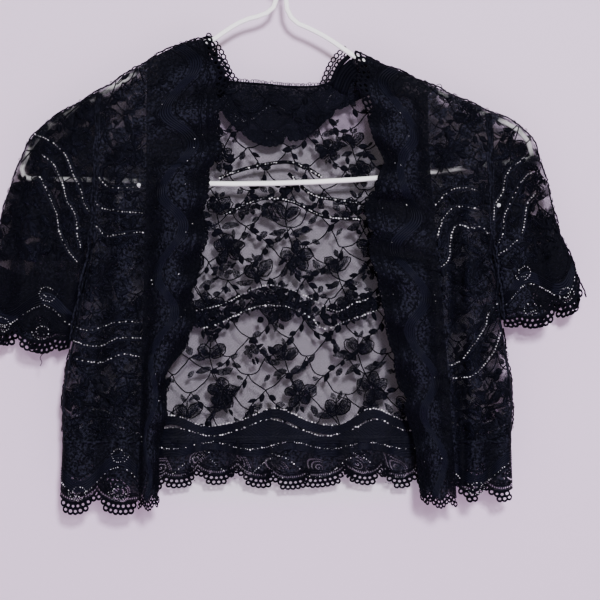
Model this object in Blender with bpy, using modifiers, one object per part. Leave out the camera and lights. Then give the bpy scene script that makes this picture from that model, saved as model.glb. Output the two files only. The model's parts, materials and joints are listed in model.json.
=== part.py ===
"""A short open lace cardigan that hangs on a white coated wire hanger.

Metres, +Z up, +X to the viewer's right, front facing -Y. The origin is the inner crown of the hook,
where the hanger rests on its rod. The cloth hangs flat: a front and a back sheet close over the arms
of the hanger and round off at the side seams, and gathered lace edgings wave free below their seams.
"""

import math

import bmesh
import bpy
import numpy as np

MM = 0.001

# The cloth
WALL = 1.2 * MM
SEAM_GAP = 0.3 * MM
HALF_SEAM = 0.2 * MM  # each edge's distance from the seam line
HALF_CLOSED_SEAM = 0.45 * MM  # the same where front and back meet edge to edge round a fold
DEPTH = 9.0 * MM  # from the middle plane to the front or the back sheet
SPREAD_OVER = 42.0 * MM  # below the shoulder, until the sheets are that deep
SIDE_RADIUS = 8.0 * MM  # of the fold at a side seam, seen from above
UNDERARM_Z = -276.0 * MM
UNDERARM_STRETCH = 1.75  # the armhole closes over this many side radii
FLAT_NEAR_EDGE = 26.0 * MM  # folds die out within this of a closed edge
SLEEVE_CLEARANCE = 1.8 * MM  # between the middles of the sleeve's and the body's walls
HEM_SEAM_Z = -432.0 * MM
LACE_WIDTH = 54.0 * MM  # of the scalloped edging, before it is gathered
COLLAR_LIFT = WALL + 3 * SEAM_GAP

# The waves of the gathered edging: heights, and how far their middle lies outwards, in wave heights
TALLEST_BAND_FOLD = 10.0 * MM
BAND_RIPPLE, BAND_OUTWARD = 3.6 * MM, 0.6  # at the free edge
COLLAR_WAVE, COLLAR_OUTWARD = 2.6 * MM, 0.9
CUFF_WAVE, CUFF_OUTWARD = 2.6 * MM, 0.35
CUFF_BACK_TURN = 2.0  # radians that the waves of a cuff's back lag behind those of its front
HEM_OUTWARD = 0.3
FLAT_AT_BAND = 14.0 * MM  # the waves of the hem die out within this of a front band

# The hanger
WIRE_RADIUS = 2.0 * MM
WIRE_CLEARANCE = 0.5 * MM
CAP_RADIUS = WIRE_RADIUS + WIRE_CLEARANCE + WALL / 2  # the cloth's middle over the hanger's arms
HOOK_INNER_RADIUS = 19.0 * MM
WIRE_SPACING = 2 * WIRE_RADIUS + WIRE_CLEARANCE
WRAP_TURNS = 3
WRAP_LOW_Z = -70.0 * MM

# Steps of the grids next to an edge: round a closed fold, and along the underarm
CAP_STEPS = CAP_RADIUS * (1 - np.cos(np.radians([0, 26, 56, 90])))
SIDE_STEPS = np.array([0, 1.1, 4.0, 8.0]) * MM
UNDERARM_STEPS = np.array([0, 1.5, 6.0, 14.0]) * MM
EDGE, SEAM = np.zeros(1), np.array([HALF_SEAM])  # a free edge, and an open seam
# Columns of a band, as shares of its width from its seam, and of the collar's ends round the wire
BAND_SHARES = (0, 0.1, 0.3, 0.5, 0.7, 0.86, 1)
CREST_DEGREES = (90, 55, 25)
CREST_ENDS = 0.08  # of the collar's length, over which its neck edge comes down from the crest


def table(*rows):
    """Rows of millimetres as an array in metres."""
    return np.array(rows, float) * MM


# The outer fold of the cloth, x and z: up the left sleeve, over both shoulders, down the right sleeve
OUTER_FOLD = table(
    (-241, -378), (-238, -348), (-235, -320), (-230, -290), (-224, -260), (-219, -240),
    (-212, -220), (-204, -199), (-195, -186), (-180, -173), (-144, -152), (-104, -127),
    (-80, -115), (-56, -109), (-30, -98), (0, -94), (30, -104), (60, -121),
    (108, -142), (128, -151), (166, -168), (184, -176), (195, -183), (203, -194),
    (208, -208), (213, -224), (218, -244), (224, -266), (232, -284), (238, -300),
    (244, -316), (254, -344),
)
# The body's edges, x and z: armhole seam down to the underarm, then side seam down to the hem
LEFT_SIDE = table(
    (-144, -152), (-146, -214), (-148, -256), (-150, -276), (-156, -306),
    (-166, -354), (-171, -374), (-174, -400), (-174, -432), (-176, -480), (-177, -520),
)
RIGHT_SIDE = table(
    (166, -168), (167, -208), (168, -240), (169, -276), (172, -300),
    (177, -337), (181, -362), (186, -396), (185, -432), (186, -468), (186, -520),
)
# The top edge of the back, x and z: left shoulder, neck and right shoulder
BACK_TOP = table(
    (-144, -152), (-104, -127), (-80, -115), (-56, -109), (-55, -109.6), (-54, -111.6),
    (-50, -121), (-45, -131), (-38, -140), (-14, -145), (8, -147), (32, -146),
    (46, -139), (53, -131), (58, -123.4), (59, -121.5), (60, -121), (108, -142),
    (128, -151), (166, -168),
)
NECK_LEFT, NECK_RIGHT = 3, 16  # rows of that table, where the neck leaves the shoulders
NECK_STEPS = np.array([0, 1, 2, 6, 13]) * MM
# The front bands, z, seam x, free edge x
LEFT_BAND = table(
    (-109, -106, -56), (-124, -106, -46), (-141, -106, -39), (-172, -106, -49),
    (-200, -106, -46), (-216, -106.2, -54), (-244, -106.7, -58), (-272, -107.3, -57),
    (-296, -107.8, -64), (-314, -108.3, -70), (-336, -108.9, -66), (-356, -109.4, -73),
    (-372, -109.8, -86), (-388, -110.3, -91), (-410, -110.9, -88), (-432, -111.5, -95),
    (-464, -112.4, -96), (-486, -113, -94),
)
RIGHT_BAND = table(
    (-121, 118, 60), (-148, 118, 61), (-172, 118, 68), (-192, 118.3, 74),
    (-210, 119.2, 83), (-224, 120.2, 77), (-240, 121.6, 67), (-264, 123.8, 69),
    (-288, 126, 76), (-312, 128.1, 86), (-336, 130.1, 90), (-368, 132.6, 95),
    (-400, 135, 100), (-440, 137.9, 108), (-467, 139.7, 110), (-486, 141, 113),
)
# The largest folds of the front: ridges (height above 0) and valleys, from one x, z to another
# columns: x and z of one end, x and z of the other, half width, height
FRONT_FOLDS = table(
    (-120, -250, -126, -425, 9, 2.6), (-136, -205, -142, -400, 7, -2.0),
    (-156, -330, -158, -470, 8, 2.8), (-190, -205, -212, -330, 9, 2.6),
    (-172, -190, -180, -335, 8, -1.8), (-208, -250, -226, -345, 7, -1.8),
    (128, -190, 124, -262, 7, -2.4), (141, -270, 146, -470, 6, -3.6),
    (131, -285, 137, -470, 6, 4.6), (153, -255, 156, -470, 6.5, 5.4),
    (166, -300, 170, -460, 5, -2.4), (186, -205, 196, -330, 8, 3.2),
    (206, -225, 226, -320, 7, -2.0), (176, -215, 182, -330, 6, -1.6),
)
BACK_FOLDS = table(
    (-120, -200, -110, -425, 14, 2.4), (-72, -230, -66, -430, 12, 2.2),
    (-28, -240, -34, -430, 13, -1.8), (14, -200, 20, -425, 14, 2.4),
    (62, -220, 56, -425, 12, -1.8), (104, -200, 112, -430, 14, 2.6),
    (148, -250, 150, -430, 10, 2.0), (-190, -205, -206, -330, 12, 2.4),
    (192, -205, 206, -320, 12, 2.4),
)
# Sleeve edging: seam from the outer fold to the underarm side, and hem line the same way, x and z
LEFT_CUFF_SEAM = table((-230, -290), (-208, -299), (-182, -304), (-159.5, -306))
RIGHT_CUFF_SEAM = table((224, -266), (208, -279), (190, -289), (175, -296))
LEFT_CUFF_HEM = table((-238, -348), (-222, -352), (-204, -355), (-186, -359), (-169, -354))
RIGHT_CUFF_HEM = table((244, -318), (232, -328), (212, -336), (196, -339), (180, -337))
# The wire of the hanger that shows at the neck, x and z, and the bar under the arms
LEFT_WIRE_AT_NECK = table(
    (0, -72), (-3, -79), (-6, -87), (-14, -92), (-28, -96), (-40, -102.5), (-51, -110.2),
)
RIGHT_WIRE_AT_NECK = table(
    (4.5, -72.5), (4.9, -80), (6.5, -90), (13, -98), (24, -103), (38, -110.5), (54, -121.3),
)
BAR = table((-196, -223), (-139, -224), (-54, -227), (16, -226), (78, -222.5), (119, -218), (188, -209))

# The lowest line of the collar, x and z
COLLAR_LOW = table((-84, -158), (-48, -186), (4, -197), (58, -188), (90, -166))

SCALLOP = 4.5 * MM  # how deep the lace's scallops are cut
BAND_END_SCALLOPS = 1.5
BAND_END = 30.0 * MM  # above its lower end a band's rows level out within this


def smooth_line(points, steps=5):
    """The points of a curve that runs smoothly through the given ones."""
    ends = np.vstack([2 * points[0] - points[1], points, 2 * points[-1] - points[-2]])
    line = []
    for a, b, c, d in zip(ends, ends[1:], ends[2:], ends[3:]):
        for k in range(steps):
            t = k / steps
            line.append(
                0.5 * (2 * b + (c - a) * t + (2 * a - 5 * b + 4 * c - d) * t**2
                       + (3 * b - a - 3 * c + d) * t**3)
            )
    line.append(points[-1])
    return np.array(line)


def along(line, share):
    """The point at this share of a line's length."""
    steps = np.linalg.norm(np.diff(line, axis=0), axis=1)
    length = np.concatenate([[0], np.cumsum(steps)])
    at = share * length[-1]
    return np.array([np.interp(at, length, line[:, k]) for k in range(line.shape[1])])


def part_of(line, start, end):
    """The stretch of a line between its points nearest to start and to end."""
    first, last = (int(np.argmin(np.linalg.norm(line - p, axis=1))) for p in (start, end))
    cut = line[first : last + 1] if first < last else line[last : first + 1][::-1]
    return np.vstack([start, cut[1:-1], end])


def distance(line, x, z):
    """From a place in the front view to a line there."""
    starts, ends = line[:-1], line[1:]
    spans = ends - starts
    to_place = np.array([x, z]) - starts
    share = np.clip((to_place * spans).sum(1) / (spans * spans).sum(1), 0, 1)
    return float(np.linalg.norm(to_place - share[:, None] * spans, axis=1).min())


def read(line, z):
    """The x of a downward line at a height."""
    return float(np.interp(-z, -line[:, 1], line[:, 0]))


def height(line, x):
    """The z of a line at an x, for a line that runs from left to right."""
    return float(np.interp(x, line[:, 0], line[:, 1]))


def column(rows, z, k):
    """Column k of a table whose first column is a falling z."""
    return float(np.interp(-z, -rows[:, 0], rows[:, k]))


def eased(t):
    """0 to 1, flat at both ends."""
    t = min(max(t, 0.0), 1.0)
    return t * t * (3 - 2 * t)


def rounded(away, radius):
    """0 at an edge and 1 from radius on, along a quarter circle."""
    t = min(max(away / radius, 0.0), 1.0)
    return math.sqrt(1 - (1 - t) ** 2)


FOLD = smooth_line(OUTER_FOLD)
SHOULDERS = part_of(FOLD, OUTER_FOLD[10], OUTER_FOLD[20])
LEFT_EDGE = smooth_line(LEFT_SIDE)
RIGHT_EDGE = smooth_line(RIGHT_SIDE)
BACK_EDGE = smooth_line(BACK_TOP, 3)


def from_edge(edge, x, z):
    """How far a place is from a closed side edge, which ends at the underarm."""
    below = min(z, UNDERARM_Z)
    return math.hypot(x - read(edge, below), (z - below) / UNDERARM_STRETCH)


def body_edges(x, z):
    return min(from_edge(LEFT_EDGE, x, z), from_edge(RIGHT_EDGE, x, z))


def sleeve_edge(side):
    """The sleeve's own edge beside the body: the body's, moved out a little below the underarm."""
    edge = LEFT_EDGE if side < 0 else RIGHT_EDGE

    def x_at(z):
        closing = 1 - (z - UNDERARM_Z) / UNDERARM_STEPS[-1]
        clear = HALF_SEAM + (SLEEVE_CLEARANCE - HALF_SEAM) * min(max(closing, 0), 1)
        return read(edge, z) + side * clear

    def away(x, z):
        below = min(z, UNDERARM_Z)
        return math.hypot(x - x_at(below), (z - below) / UNDERARM_STRETCH)

    return x_at, away


def ridge(row, x, z):
    """The height at a place of one fold, which dies out at its ends."""
    x0, z0, x1, z1, width, high = row
    run = np.array([x1 - x0, z1 - z0])
    place = np.array([x - x0, z - z0])
    t = float(place @ run / (run @ run))
    off = abs(float(place[0] * run[1] - place[1] * run[0])) / float(np.linalg.norm(run))
    ends = eased((t + 0.25) / 0.4) * eased((1.25 - t) / 0.4)
    return high * ends * math.exp(-((off / width) ** 2))


def cloth_depth(side, x, z, edge_distance, wave=0.0, lift=0.0):
    """The y of a sheet, side -1 for the front and 1 for the back, with a wave or a lift outwards."""
    s = distance(FOLD, x, z)
    radius = CAP_RADIUS + lift
    cap = radius * rounded(s + lift, radius)
    depth = cap + (DEPTH - CAP_RADIUS) * eased((s - CAP_RADIUS) / SPREAD_OVER)
    folds = FRONT_FOLDS if side < 0 else BACK_FOLDS
    loose = eased(s / FLAT_NEAR_EDGE) * eased(edge_distance / FLAT_NEAR_EDGE)
    moved = sum(ridge(row, x, z) for row in folds) + wave
    closing = rounded(edge_distance, SIDE_RADIUS)
    return side * max(depth * closing + loose * moved, HALF_CLOSED_SEAM)


def spread(length, start, end, count):
    """count + 1 places from 0 to length, with the given steps next to its ends."""
    inner = count + 1 - len(start) - len(end)
    middle = np.linspace(start[-1], length - end[-1], inner + 2)[1:-1]
    return np.concatenate([start, middle, length - end[::-1]])


def material(name, colour, roughness):
    """A plain finish."""
    made = bpy.data.materials.get(name) or bpy.data.materials.new(name)
    made.use_nodes = True
    shader = made.node_tree.nodes["Principled BSDF"]
    shader.inputs["Base Color"].default_value = (*colour, 1)
    shader.inputs["Roughness"].default_value = roughness
    return made


def sheet(name, columns, rows, place, closed=False):
    """A sheet of cloth: a grid whose points go where place(i, j) says, given its wall."""
    mesh = bpy.data.meshes.new(name)
    grid = bmesh.new()
    bmesh.ops.create_grid(grid, x_segments=columns, y_segments=rows, size=0.5)
    for vert in grid.verts:
        i = round((vert.co.x + 0.5) * columns)
        j = round((vert.co.y + 0.5) * rows)
        vert.co = place(i, j)
    if closed:
        bmesh.ops.remove_doubles(grid, verts=grid.verts, dist=0.00001)
    bmesh.ops.recalc_face_normals(grid, faces=grid.faces)
    grid.to_mesh(mesh)
    grid.free()
    mesh.shade_smooth()
    piece = bpy.data.objects.new(name, mesh)
    wall = piece.modifiers.new("wall", "SOLIDIFY")
    wall.thickness = WALL
    wall.offset = 0
    mesh.materials.append(material("black_lace", (0.012, 0.011, 0.016), 0.8))
    cardigan.objects.link(piece)
    return piece


def panel(name, side, rows, top, across):
    """A panel from a top line to the hem's seam, with rows above and below the underarm.

    across(z) gives the x of each of its columns.
    """
    lower = spread(UNDERARM_Z - HEM_SEAM_Z, EDGE, SEAM, rows[1])

    def place(i, j):
        z = UNDERARM_Z
        for _ in range(6):
            x = across(z)[i]
            upper = spread(top(x) - UNDERARM_Z, CAP_STEPS, UNDERARM_STEPS, rows[0])
            z = top(x) - upper[j] if j <= rows[0] else UNDERARM_Z - lower[j - rows[0]]
        return x, cloth_depth(side, x, z, body_edges(x, z)), z

    return sheet(name, len(across(UNDERARM_Z)) - 1, sum(rows), place)


def side_line(edge, inwards):
    """The body's edge: on the seam line where it is closed, and clear of the sleeve above."""
    return lambda z: read(edge, z) + inwards * HALF_SEAM * eased((z - UNDERARM_Z) / (1.5 * MM))


def make_panels():
    """The back, whose columns keep to the sides of the neck, and the two narrow fronts."""
    left, right = side_line(LEFT_EDGE, 1), side_line(RIGHT_EDGE, -1)
    neck_left, neck_right = BACK_TOP[NECK_LEFT, 0], BACK_TOP[NECK_RIGHT, 0]
    neck = neck_left + spread(neck_right - neck_left, NECK_STEPS, NECK_STEPS, 14)

    def back_columns(z):
        outer = spread(neck_left - left(z), SIDE_STEPS, EDGE, 8)
        inner = spread(right(z) - neck_right, EDGE, SIDE_STEPS, 8)
        return np.concatenate([left(z) + outer, neck[1:-1], neck_right + inner])

    def left_columns(z):
        return left(z) + spread(column(LEFT_BAND, z, 1) - left(z), SIDE_STEPS, SEAM, 8)

    def right_columns(z):
        seam = column(RIGHT_BAND, z, 1)
        return seam + spread(right(z) - seam, SEAM, SIDE_STEPS, 8)

    panel("back", 1, (10, 7), lambda x: height(BACK_EDGE, x), back_columns)
    panel("front_left", -1, (10, 9), lambda x: height(SHOULDERS, x), left_columns)
    panel("front_right", -1, (10, 9), lambda x: height(SHOULDERS, x), right_columns)


def ring_place(i, half, middle, away, wave):
    """A point of a sleeve's ring: 0 on the outer fold, the front, half beside the body, the back."""
    k = i % (2 * half)
    front = k <= half
    k = k if front else 2 * half - k
    x, z = middle(k)
    if k in (0, half):
        return x, 0.0, z
    return x, cloth_depth(-1 if front else 1, x, z, away(x, z), wave(k, front)), z


def filled(t, share, first, last, outer, inner):
    """A place between four lines: first to last as share grows, outer to inner as t grows."""
    ruled = (1 - share) * along(first, t) + share * along(last, t)
    ends = (1 - t) * along(outer, share) + t * along(inner, share)
    corners = (1 - t) * ((1 - share) * first[0] + share * last[0])
    corners = corners + t * ((1 - share) * first[-1] + share * last[-1])
    return ruled + ends - corners


def patch(k, half, share, first, last, outer, inner):
    """The place of point k of half + 1 on the ring at a share of the way between two seam lines."""
    p, q = along(outer, share), along(inner, share)
    near = (1 - share) * UNDERARM_STEPS + share * SIDE_STEPS
    length = float(np.linalg.norm(q - p))
    return filled(spread(length, CAP_STEPS, near, half)[k] / length, share, first, last, outer, inner)


def make_sleeve(name, side, half, rows):
    """A short sleeve, from its armhole seam to the seam of its edging."""
    x_at, away = sleeve_edge(side)
    edge = LEFT_EDGE if side < 0 else RIGHT_EDGE
    cuff = smooth_line(LEFT_CUFF_SEAM if side < 0 else RIGHT_CUFF_SEAM)
    cuff[-1, 0] = x_at(cuff[-1, 1])
    zs = np.linspace(edge[0, 1], UNDERARM_Z, 40)
    armhole = np.array([(x_at(z), z) for z in zs])
    armhole[0] = (edge[0, 0] + side * HALF_SEAM, edge[0, 1])
    outer = part_of(FOLD, armhole[0], cuff[0])
    inner = np.array([(x_at(z), z) for z in np.linspace(UNDERARM_Z, cuff[-1, 1], 10)])

    def place(i, j):
        share = j / rows

        def middle(k):
            return patch(k, half, share, armhole, cuff, outer, inner)

        return ring_place(i, half, middle, away, lambda k, front: 0.0)

    return sheet(name, 2 * half, rows, place, closed=True)


def make_cuff(name, side, half, rows, waves):
    """The gathered edging of a sleeve, which waves more the lower it is, with a scalloped hem."""
    x_at, away = sleeve_edge(side)
    seam = smooth_line(LEFT_CUFF_SEAM if side < 0 else RIGHT_CUFF_SEAM)
    hem = smooth_line(LEFT_CUFF_HEM if side < 0 else RIGHT_CUFF_HEM)
    seam = seam - np.array([0, 2 * HALF_SEAM])
    clear = 2 * HALF_SEAM
    for line in (seam, hem):
        line[-1, 0] = x_at(line[-1, 1]) + side * clear
    outer = part_of(FOLD, seam[0], hem[0])
    inner = np.array([seam[-1], hem[-1]])

    def place(i, j):
        share = j / rows

        def middle(k):
            x, z = patch(k, half, share, seam, hem, outer, inner)
            z -= share**2 * SCALLOP * abs(math.sin(math.pi * waves * k / half))
            return side * max(side * x, side * x_at(z) + clear), z

        def wave(k, front):
            turn = 2 * math.pi * waves * k / half + (0.0 if front else CUFF_BACK_TURN)
            return CUFF_WAVE * share * (CUFF_OUTWARD + math.sin(turn))

        return ring_place(i, half, middle, away, wave)

    return sheet(name, 2 * half, rows, place, closed=True)


def make_hem(name, side, columns, ends, steps, low_z, pitch, wave_height, phase, band=None):
    """The gathered edging of the hem from one line to another, with a scalloped lower edge.

    pitch and phase place its waves along x. They die out where a front band is sewn to it.
    """
    rows = 4
    left, right = ends

    def place(i, j):
        share = j / rows
        z = HEM_SEAM_Z
        for _ in range(4):
            x = left(z) + spread(right(z) - left(z), *steps, columns)[i]
            turn = math.pi * (x - phase) / pitch
            low = low_z + SCALLOP * (1 - abs(math.cos(turn)))
            z = (HEM_SEAM_Z - HALF_SEAM) * (1 - share) + low * share
        wave = wave_height * share * (HEM_OUTWARD + math.cos(2 * turn))
        if band:
            wave *= eased(abs(x - band(z)) / FLAT_AT_BAND)
        return x, cloth_depth(side, x, z, body_edges(x, z), wave), z

    return sheet(name, columns, rows, place)


def make_hems():
    left, right = (lambda z: read(LEFT_EDGE, z)), (lambda z: read(RIGHT_EDGE, z))
    left_band, right_band = (lambda z: column(LEFT_BAND, z, 1)), (lambda z: column(RIGHT_BAND, z, 1))
    make_hem("hem_flounce_back", 1, 62, (left, right), (SIDE_STEPS, SIDE_STEPS),
             low_z=-473 * MM, pitch=29 * MM, wave_height=3.2 * MM, phase=-50 * MM)
    make_hem("hem_flounce_left", -1, 15, (left, left_band), (SIDE_STEPS, SEAM),
             low_z=-490 * MM, pitch=36 * MM, wave_height=2 * MM, phase=-162 * MM, band=left_band)
    make_hem("hem_flounce_right", -1, 15, (right_band, right), (SEAM, SIDE_STEPS),
             low_z=-480 * MM, pitch=25 * MM, wave_height=2.4 * MM, phase=152 * MM, band=right_band)


def make_band(name, rows_of, side, rows, ripples, low):
    """A front band: the edging sewn to the front panel, gathered, its free edge towards the middle."""

    def place(i, j):
        q = BAND_SHARES[i]
        seam_x, free_x = rows_of[0, 1], rows_of[0, 2]
        start = height(SHOULDERS, seam_x + (free_x - seam_x) * q)
        drop = start - low
        z = start - spread(drop, CAP_STEPS, EDGE, rows)[j]
        arch = SCALLOP * abs(math.sin(math.pi * BAND_END_SCALLOPS * q))
        z += arch * eased((low + BAND_END - z) / BAND_END)
        seam_x, free_x = column(rows_of, z, 1), column(rows_of, z, 2)
        shown = abs(free_x - seam_x)
        fold = 0.5 * math.sqrt(max(LACE_WIDTH**2 - shown**2, 0.0))
        fold = min(fold, TALLEST_BAND_FOLD)
        turn = 2 * math.pi * ripples * (z - low) / drop
        wave = fold * math.sin(math.pi * q) ** 2 + BAND_RIPPLE * q * (BAND_OUTWARD + math.sin(turn))
        x = seam_x + side * 2 * HALF_SEAM * (1 - q) + (free_x - seam_x) * q
        return x, cloth_depth(-1, x, z, body_edges(x, z), wave), z

    return sheet(name, len(BAND_SHARES) - 1, rows, place)


def make_collar(columns, rows, waves):
    """The edging round the back of the neck, sewn to the neck edge and fallen down the outside."""
    neck = part_of(BACK_EDGE, BACK_TOP[NECK_LEFT], BACK_TOP[NECK_RIGHT])
    left_end = part_of(FOLD, OUTER_FOLD[13], OUTER_FOLD[11])
    right_end = part_of(FOLD, OUTER_FOLD[17], OUTER_FOLD[18])
    free = smooth_line(np.vstack([left_end[-1], COLLAR_LOW, right_end[-1]]))
    crests = len(CREST_DEGREES)

    def place(i, j):
        over = min(i, columns - i)
        share = min(max((i - crests) / (columns - 2 * crests), 0), 1)
        q = j / rows
        arch = SCALLOP * q**2 * abs(math.sin(math.pi * waves * share))
        x, z = filled(share, q, neck, free, left_end, right_end)
        if over < crests:
            turn = math.radians(CREST_DEGREES[over])
            radius = CAP_RADIUS + COLLAR_LIFT
            y = max(radius * math.cos(turn), HALF_CLOSED_SEAM)
            return x, y, z - CAP_RADIUS + radius * math.sin(turn)
        z -= CAP_RADIUS * max(1 - min(share, 1 - share) / CREST_ENDS, 0)
        z -= arch * eased(4 * share) * eased(4 - 4 * share)
        wave = COLLAR_WAVE * q * (COLLAR_OUTWARD + math.sin(2 * math.pi * waves * share))
        return x, cloth_depth(1, x, z, body_edges(x, z), wave, lift=COLLAR_LIFT), z

    return sheet("collar_back", columns, rows, place)


def wire(name, points):
    """A coated wire along the given points."""
    curve = bpy.data.curves.new(name, "CURVE")
    curve.dimensions = "3D"
    curve.bevel_depth = WIRE_RADIUS
    curve.bevel_resolution = 2
    curve.use_fill_caps = True
    spline = curve.splines.new("POLY")
    spline.points.add(len(points) - 1)
    for point, place in zip(spline.points, points):
        point.co = (*place, 1)
    curve.materials.append(material("white_coating", (0.86, 0.84, 0.84), 0.35))
    piece = bpy.data.objects.new(name, curve)
    cardigan.objects.link(piece)
    return piece


def under(line, depth):
    """A line moved towards the inside of the cloth, which is on its right as it runs left to right."""
    tangent = np.gradient(line, axis=0)
    tangent /= np.linalg.norm(tangent, axis=1)[:, None]
    return line + depth * np.stack([tangent[:, 1], -tangent[:, 0]], axis=1)


def hook_points():
    """The hook from its tip over the crown to the stem, as x and z."""
    radius = HOOK_INNER_RADIUS + WIRE_RADIUS
    centre = np.array([0, -HOOK_INNER_RADIUS])
    angles = np.radians(np.linspace(205, -52, 22))
    arc = centre + radius * np.stack([np.cos(angles), np.sin(angles)], axis=1)
    return np.vstack([arc, smooth_line(table((7.4, -41), (2.6, -46), (0.3, -52), (0, -58)), 2)])


def spaced(line, step):
    """A line again, with its points about this far apart."""
    length = np.linalg.norm(np.diff(line, axis=0), axis=1).sum()
    return np.array([along(line, t) for t in np.linspace(0, 1, max(3, round(length / step)))])


def make_hanger():
    """The bent wire, from the tip of the hook down, round the triangle and back up to the stem."""
    depth = CAP_RADIUS + WIRE_CLEARANCE
    left_arm = under(part_of(FOLD, OUTER_FOLD[6], OUTER_FOLD[13]), depth)[::-1]
    right_arm = under(part_of(FOLD, OUTER_FOLD[17], OUTER_FOLD[24]), depth)
    left_corner = table((-206.5, -215.5), (-205, -220), (-201.5, -222.6))
    right_corner = table((195.5, -208.3), (199.5, -207.4), (201.8, -205))
    triangle = np.vstack([
        spaced(smooth_line(LEFT_WIRE_AT_NECK), 7 * MM), spaced(left_arm[:-3], 11 * MM),
        left_corner, spaced(smooth_line(BAR), 30 * MM), right_corner,
        spaced(right_arm[:-6][::-1], 11 * MM), spaced(smooth_line(RIGHT_WIRE_AT_NECK[::-1]), 7 * MM),
    ])
    points = np.vstack([hook_points(), triangle])
    wire("hanger_frame", [(x, 0.0, z) for x, z in points])
    turns = np.linspace(0, 2 * math.pi * WRAP_TURNS, 12 * WRAP_TURNS + 1)
    coil = []
    for turn in turns:
        z = WRAP_LOW_Z + WIRE_SPACING * turn / (2 * math.pi)
        coil.append((WIRE_SPACING * math.cos(turn), WIRE_SPACING * math.sin(turn), z))
    wire("hanger_wrap", coil)


def clear_scene():
    for item in list(bpy.data.objects):
        bpy.data.objects.remove(item)


clear_scene()
cardigan = bpy.data.collections.new("lace_cardigan")
bpy.context.scene.collection.children.link(cardigan)
make_panels()
make_sleeve("sleeve_left", -1, 11, 10)
make_sleeve("sleeve_right", 1, 11, 10)
make_cuff("sleeve_flounce_left", -1, 16, 4, 2.5)
make_cuff("sleeve_flounce_right", 1, 16, 4, 2.5)
make_hems()
make_band("band_left", LEFT_BAND, 1, 46, 11, -486 * MM)
make_band("band_right", RIGHT_BAND, -1, 46, 10, -484 * MM)
make_collar(40, 4, 5.5)
make_hanger()
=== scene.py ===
# %% [markdown]
# # A short black lace cardigan on a wire hanger
#
# The real one is cut from stretch lace: a fine net with flowers, leaves and thin cords worked
# into it, and wavy lines of silver thread. A scalloped edging is gathered and sewn round every
# free edge. The packed model holds the true form of each piece of cloth. Here each piece becomes
# a thin shell of net on that form, and the lace work is drawn in its flat pattern and then hung
# with it. That way the flowers stay flat against the cloth, whatever folds it has.

# %% Load the packed model
import json
import math

import bpy
import numpy as np
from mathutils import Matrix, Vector

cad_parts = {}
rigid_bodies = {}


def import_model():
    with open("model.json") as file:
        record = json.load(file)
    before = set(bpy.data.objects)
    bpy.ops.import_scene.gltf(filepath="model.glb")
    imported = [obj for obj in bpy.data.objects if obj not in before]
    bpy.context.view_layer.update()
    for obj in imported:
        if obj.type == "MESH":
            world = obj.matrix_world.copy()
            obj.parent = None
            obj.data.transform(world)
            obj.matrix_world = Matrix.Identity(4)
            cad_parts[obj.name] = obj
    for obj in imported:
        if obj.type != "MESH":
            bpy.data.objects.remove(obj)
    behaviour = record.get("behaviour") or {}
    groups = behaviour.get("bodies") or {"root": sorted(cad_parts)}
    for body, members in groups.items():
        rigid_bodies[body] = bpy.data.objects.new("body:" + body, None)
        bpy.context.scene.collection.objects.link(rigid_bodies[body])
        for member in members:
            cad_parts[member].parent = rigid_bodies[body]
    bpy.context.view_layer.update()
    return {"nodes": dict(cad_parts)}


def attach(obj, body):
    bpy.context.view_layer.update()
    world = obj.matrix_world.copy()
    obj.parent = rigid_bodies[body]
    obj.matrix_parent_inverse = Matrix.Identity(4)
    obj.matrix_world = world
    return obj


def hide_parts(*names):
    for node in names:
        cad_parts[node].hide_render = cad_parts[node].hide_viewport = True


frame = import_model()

bpy.ops.object.select_all(action="DESELECT")
print("pieces of cloth and wire in the frame:", len(frame["nodes"]))

# %% [markdown]
# ## The maker's sizes
#
# The form of the cloth comes from the same few sizes that the solids were made from, so they are
# repeated here. All are in millimetres in the tables and metres elsewhere. The cloth hangs flat
# in the XZ plane with its front towards -Y: a front sheet and a back sheet that close round the
# arms of the hanger at the top and round off at the side seams.

# %% Sizes of the cloth
MM = 0.001
DEPTH = 9.0 * MM  # from the middle plane to the front or the back sheet
SPREAD_OVER = 42.0 * MM  # below the shoulder, until the sheets are that deep
CAP_RADIUS = 3.1 * MM  # of the cloth over the hanger's arms
SIDE_RADIUS = 8.0 * MM
UNDERARM_Z = -276.0 * MM
UNDERARM_STRETCH = 1.75  # how much taller than wide the rounding below the underarm is
FLAT_NEAR_EDGE = 26.0 * MM  # beyond it the folds have their full height
HEM_SEAM_Z = -432.0 * MM
LACE_WIDTH = 54.0 * MM  # of the scalloped edging
SCALLOP = 4.5 * MM  # the unit for the depth of its notches
TALLEST_BAND_FOLD = 10.0 * MM
# The waves of each edging, and how far they lie to the outside, as a share of their height
BAND_RIPPLE, BAND_OUTWARD = 3.6 * MM, 0.6
COLLAR_WAVE, COLLAR_OUTWARD = 2.6 * MM, 0.9
COLLAR_LIFT = 2.1 * MM
CUFF_WAVE, CUFF_OUTWARD, CUFF_BACK_TURN = 2.6 * MM, 0.35, 2.0
HEM_OUTWARD = 0.3
FLAT_AT_BAND = 14.0 * MM


def table(*rows):
    """Rows of millimetres as an array in metres."""
    return np.array(rows, float) * MM


# The outer fold of the cloth, x and z: up the left sleeve, over both shoulders, down the right one
OUTER_FOLD = table(
    (-241, -378), (-238, -348), (-235, -320), (-230, -290), (-224, -260), (-219, -240),
    (-212, -220), (-204, -199), (-195, -186), (-180, -173), (-144, -152), (-104, -127),
    (-80, -115), (-56, -109), (-30, -98), (0, -94), (30, -104), (60, -121),
    (108, -142), (128, -151), (166, -168), (184, -176), (195, -183), (203, -194),
    (208, -208), (213, -224), (218, -244), (224, -266), (232, -284), (238, -300),
    (244, -316), (254, -344),
)
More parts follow.
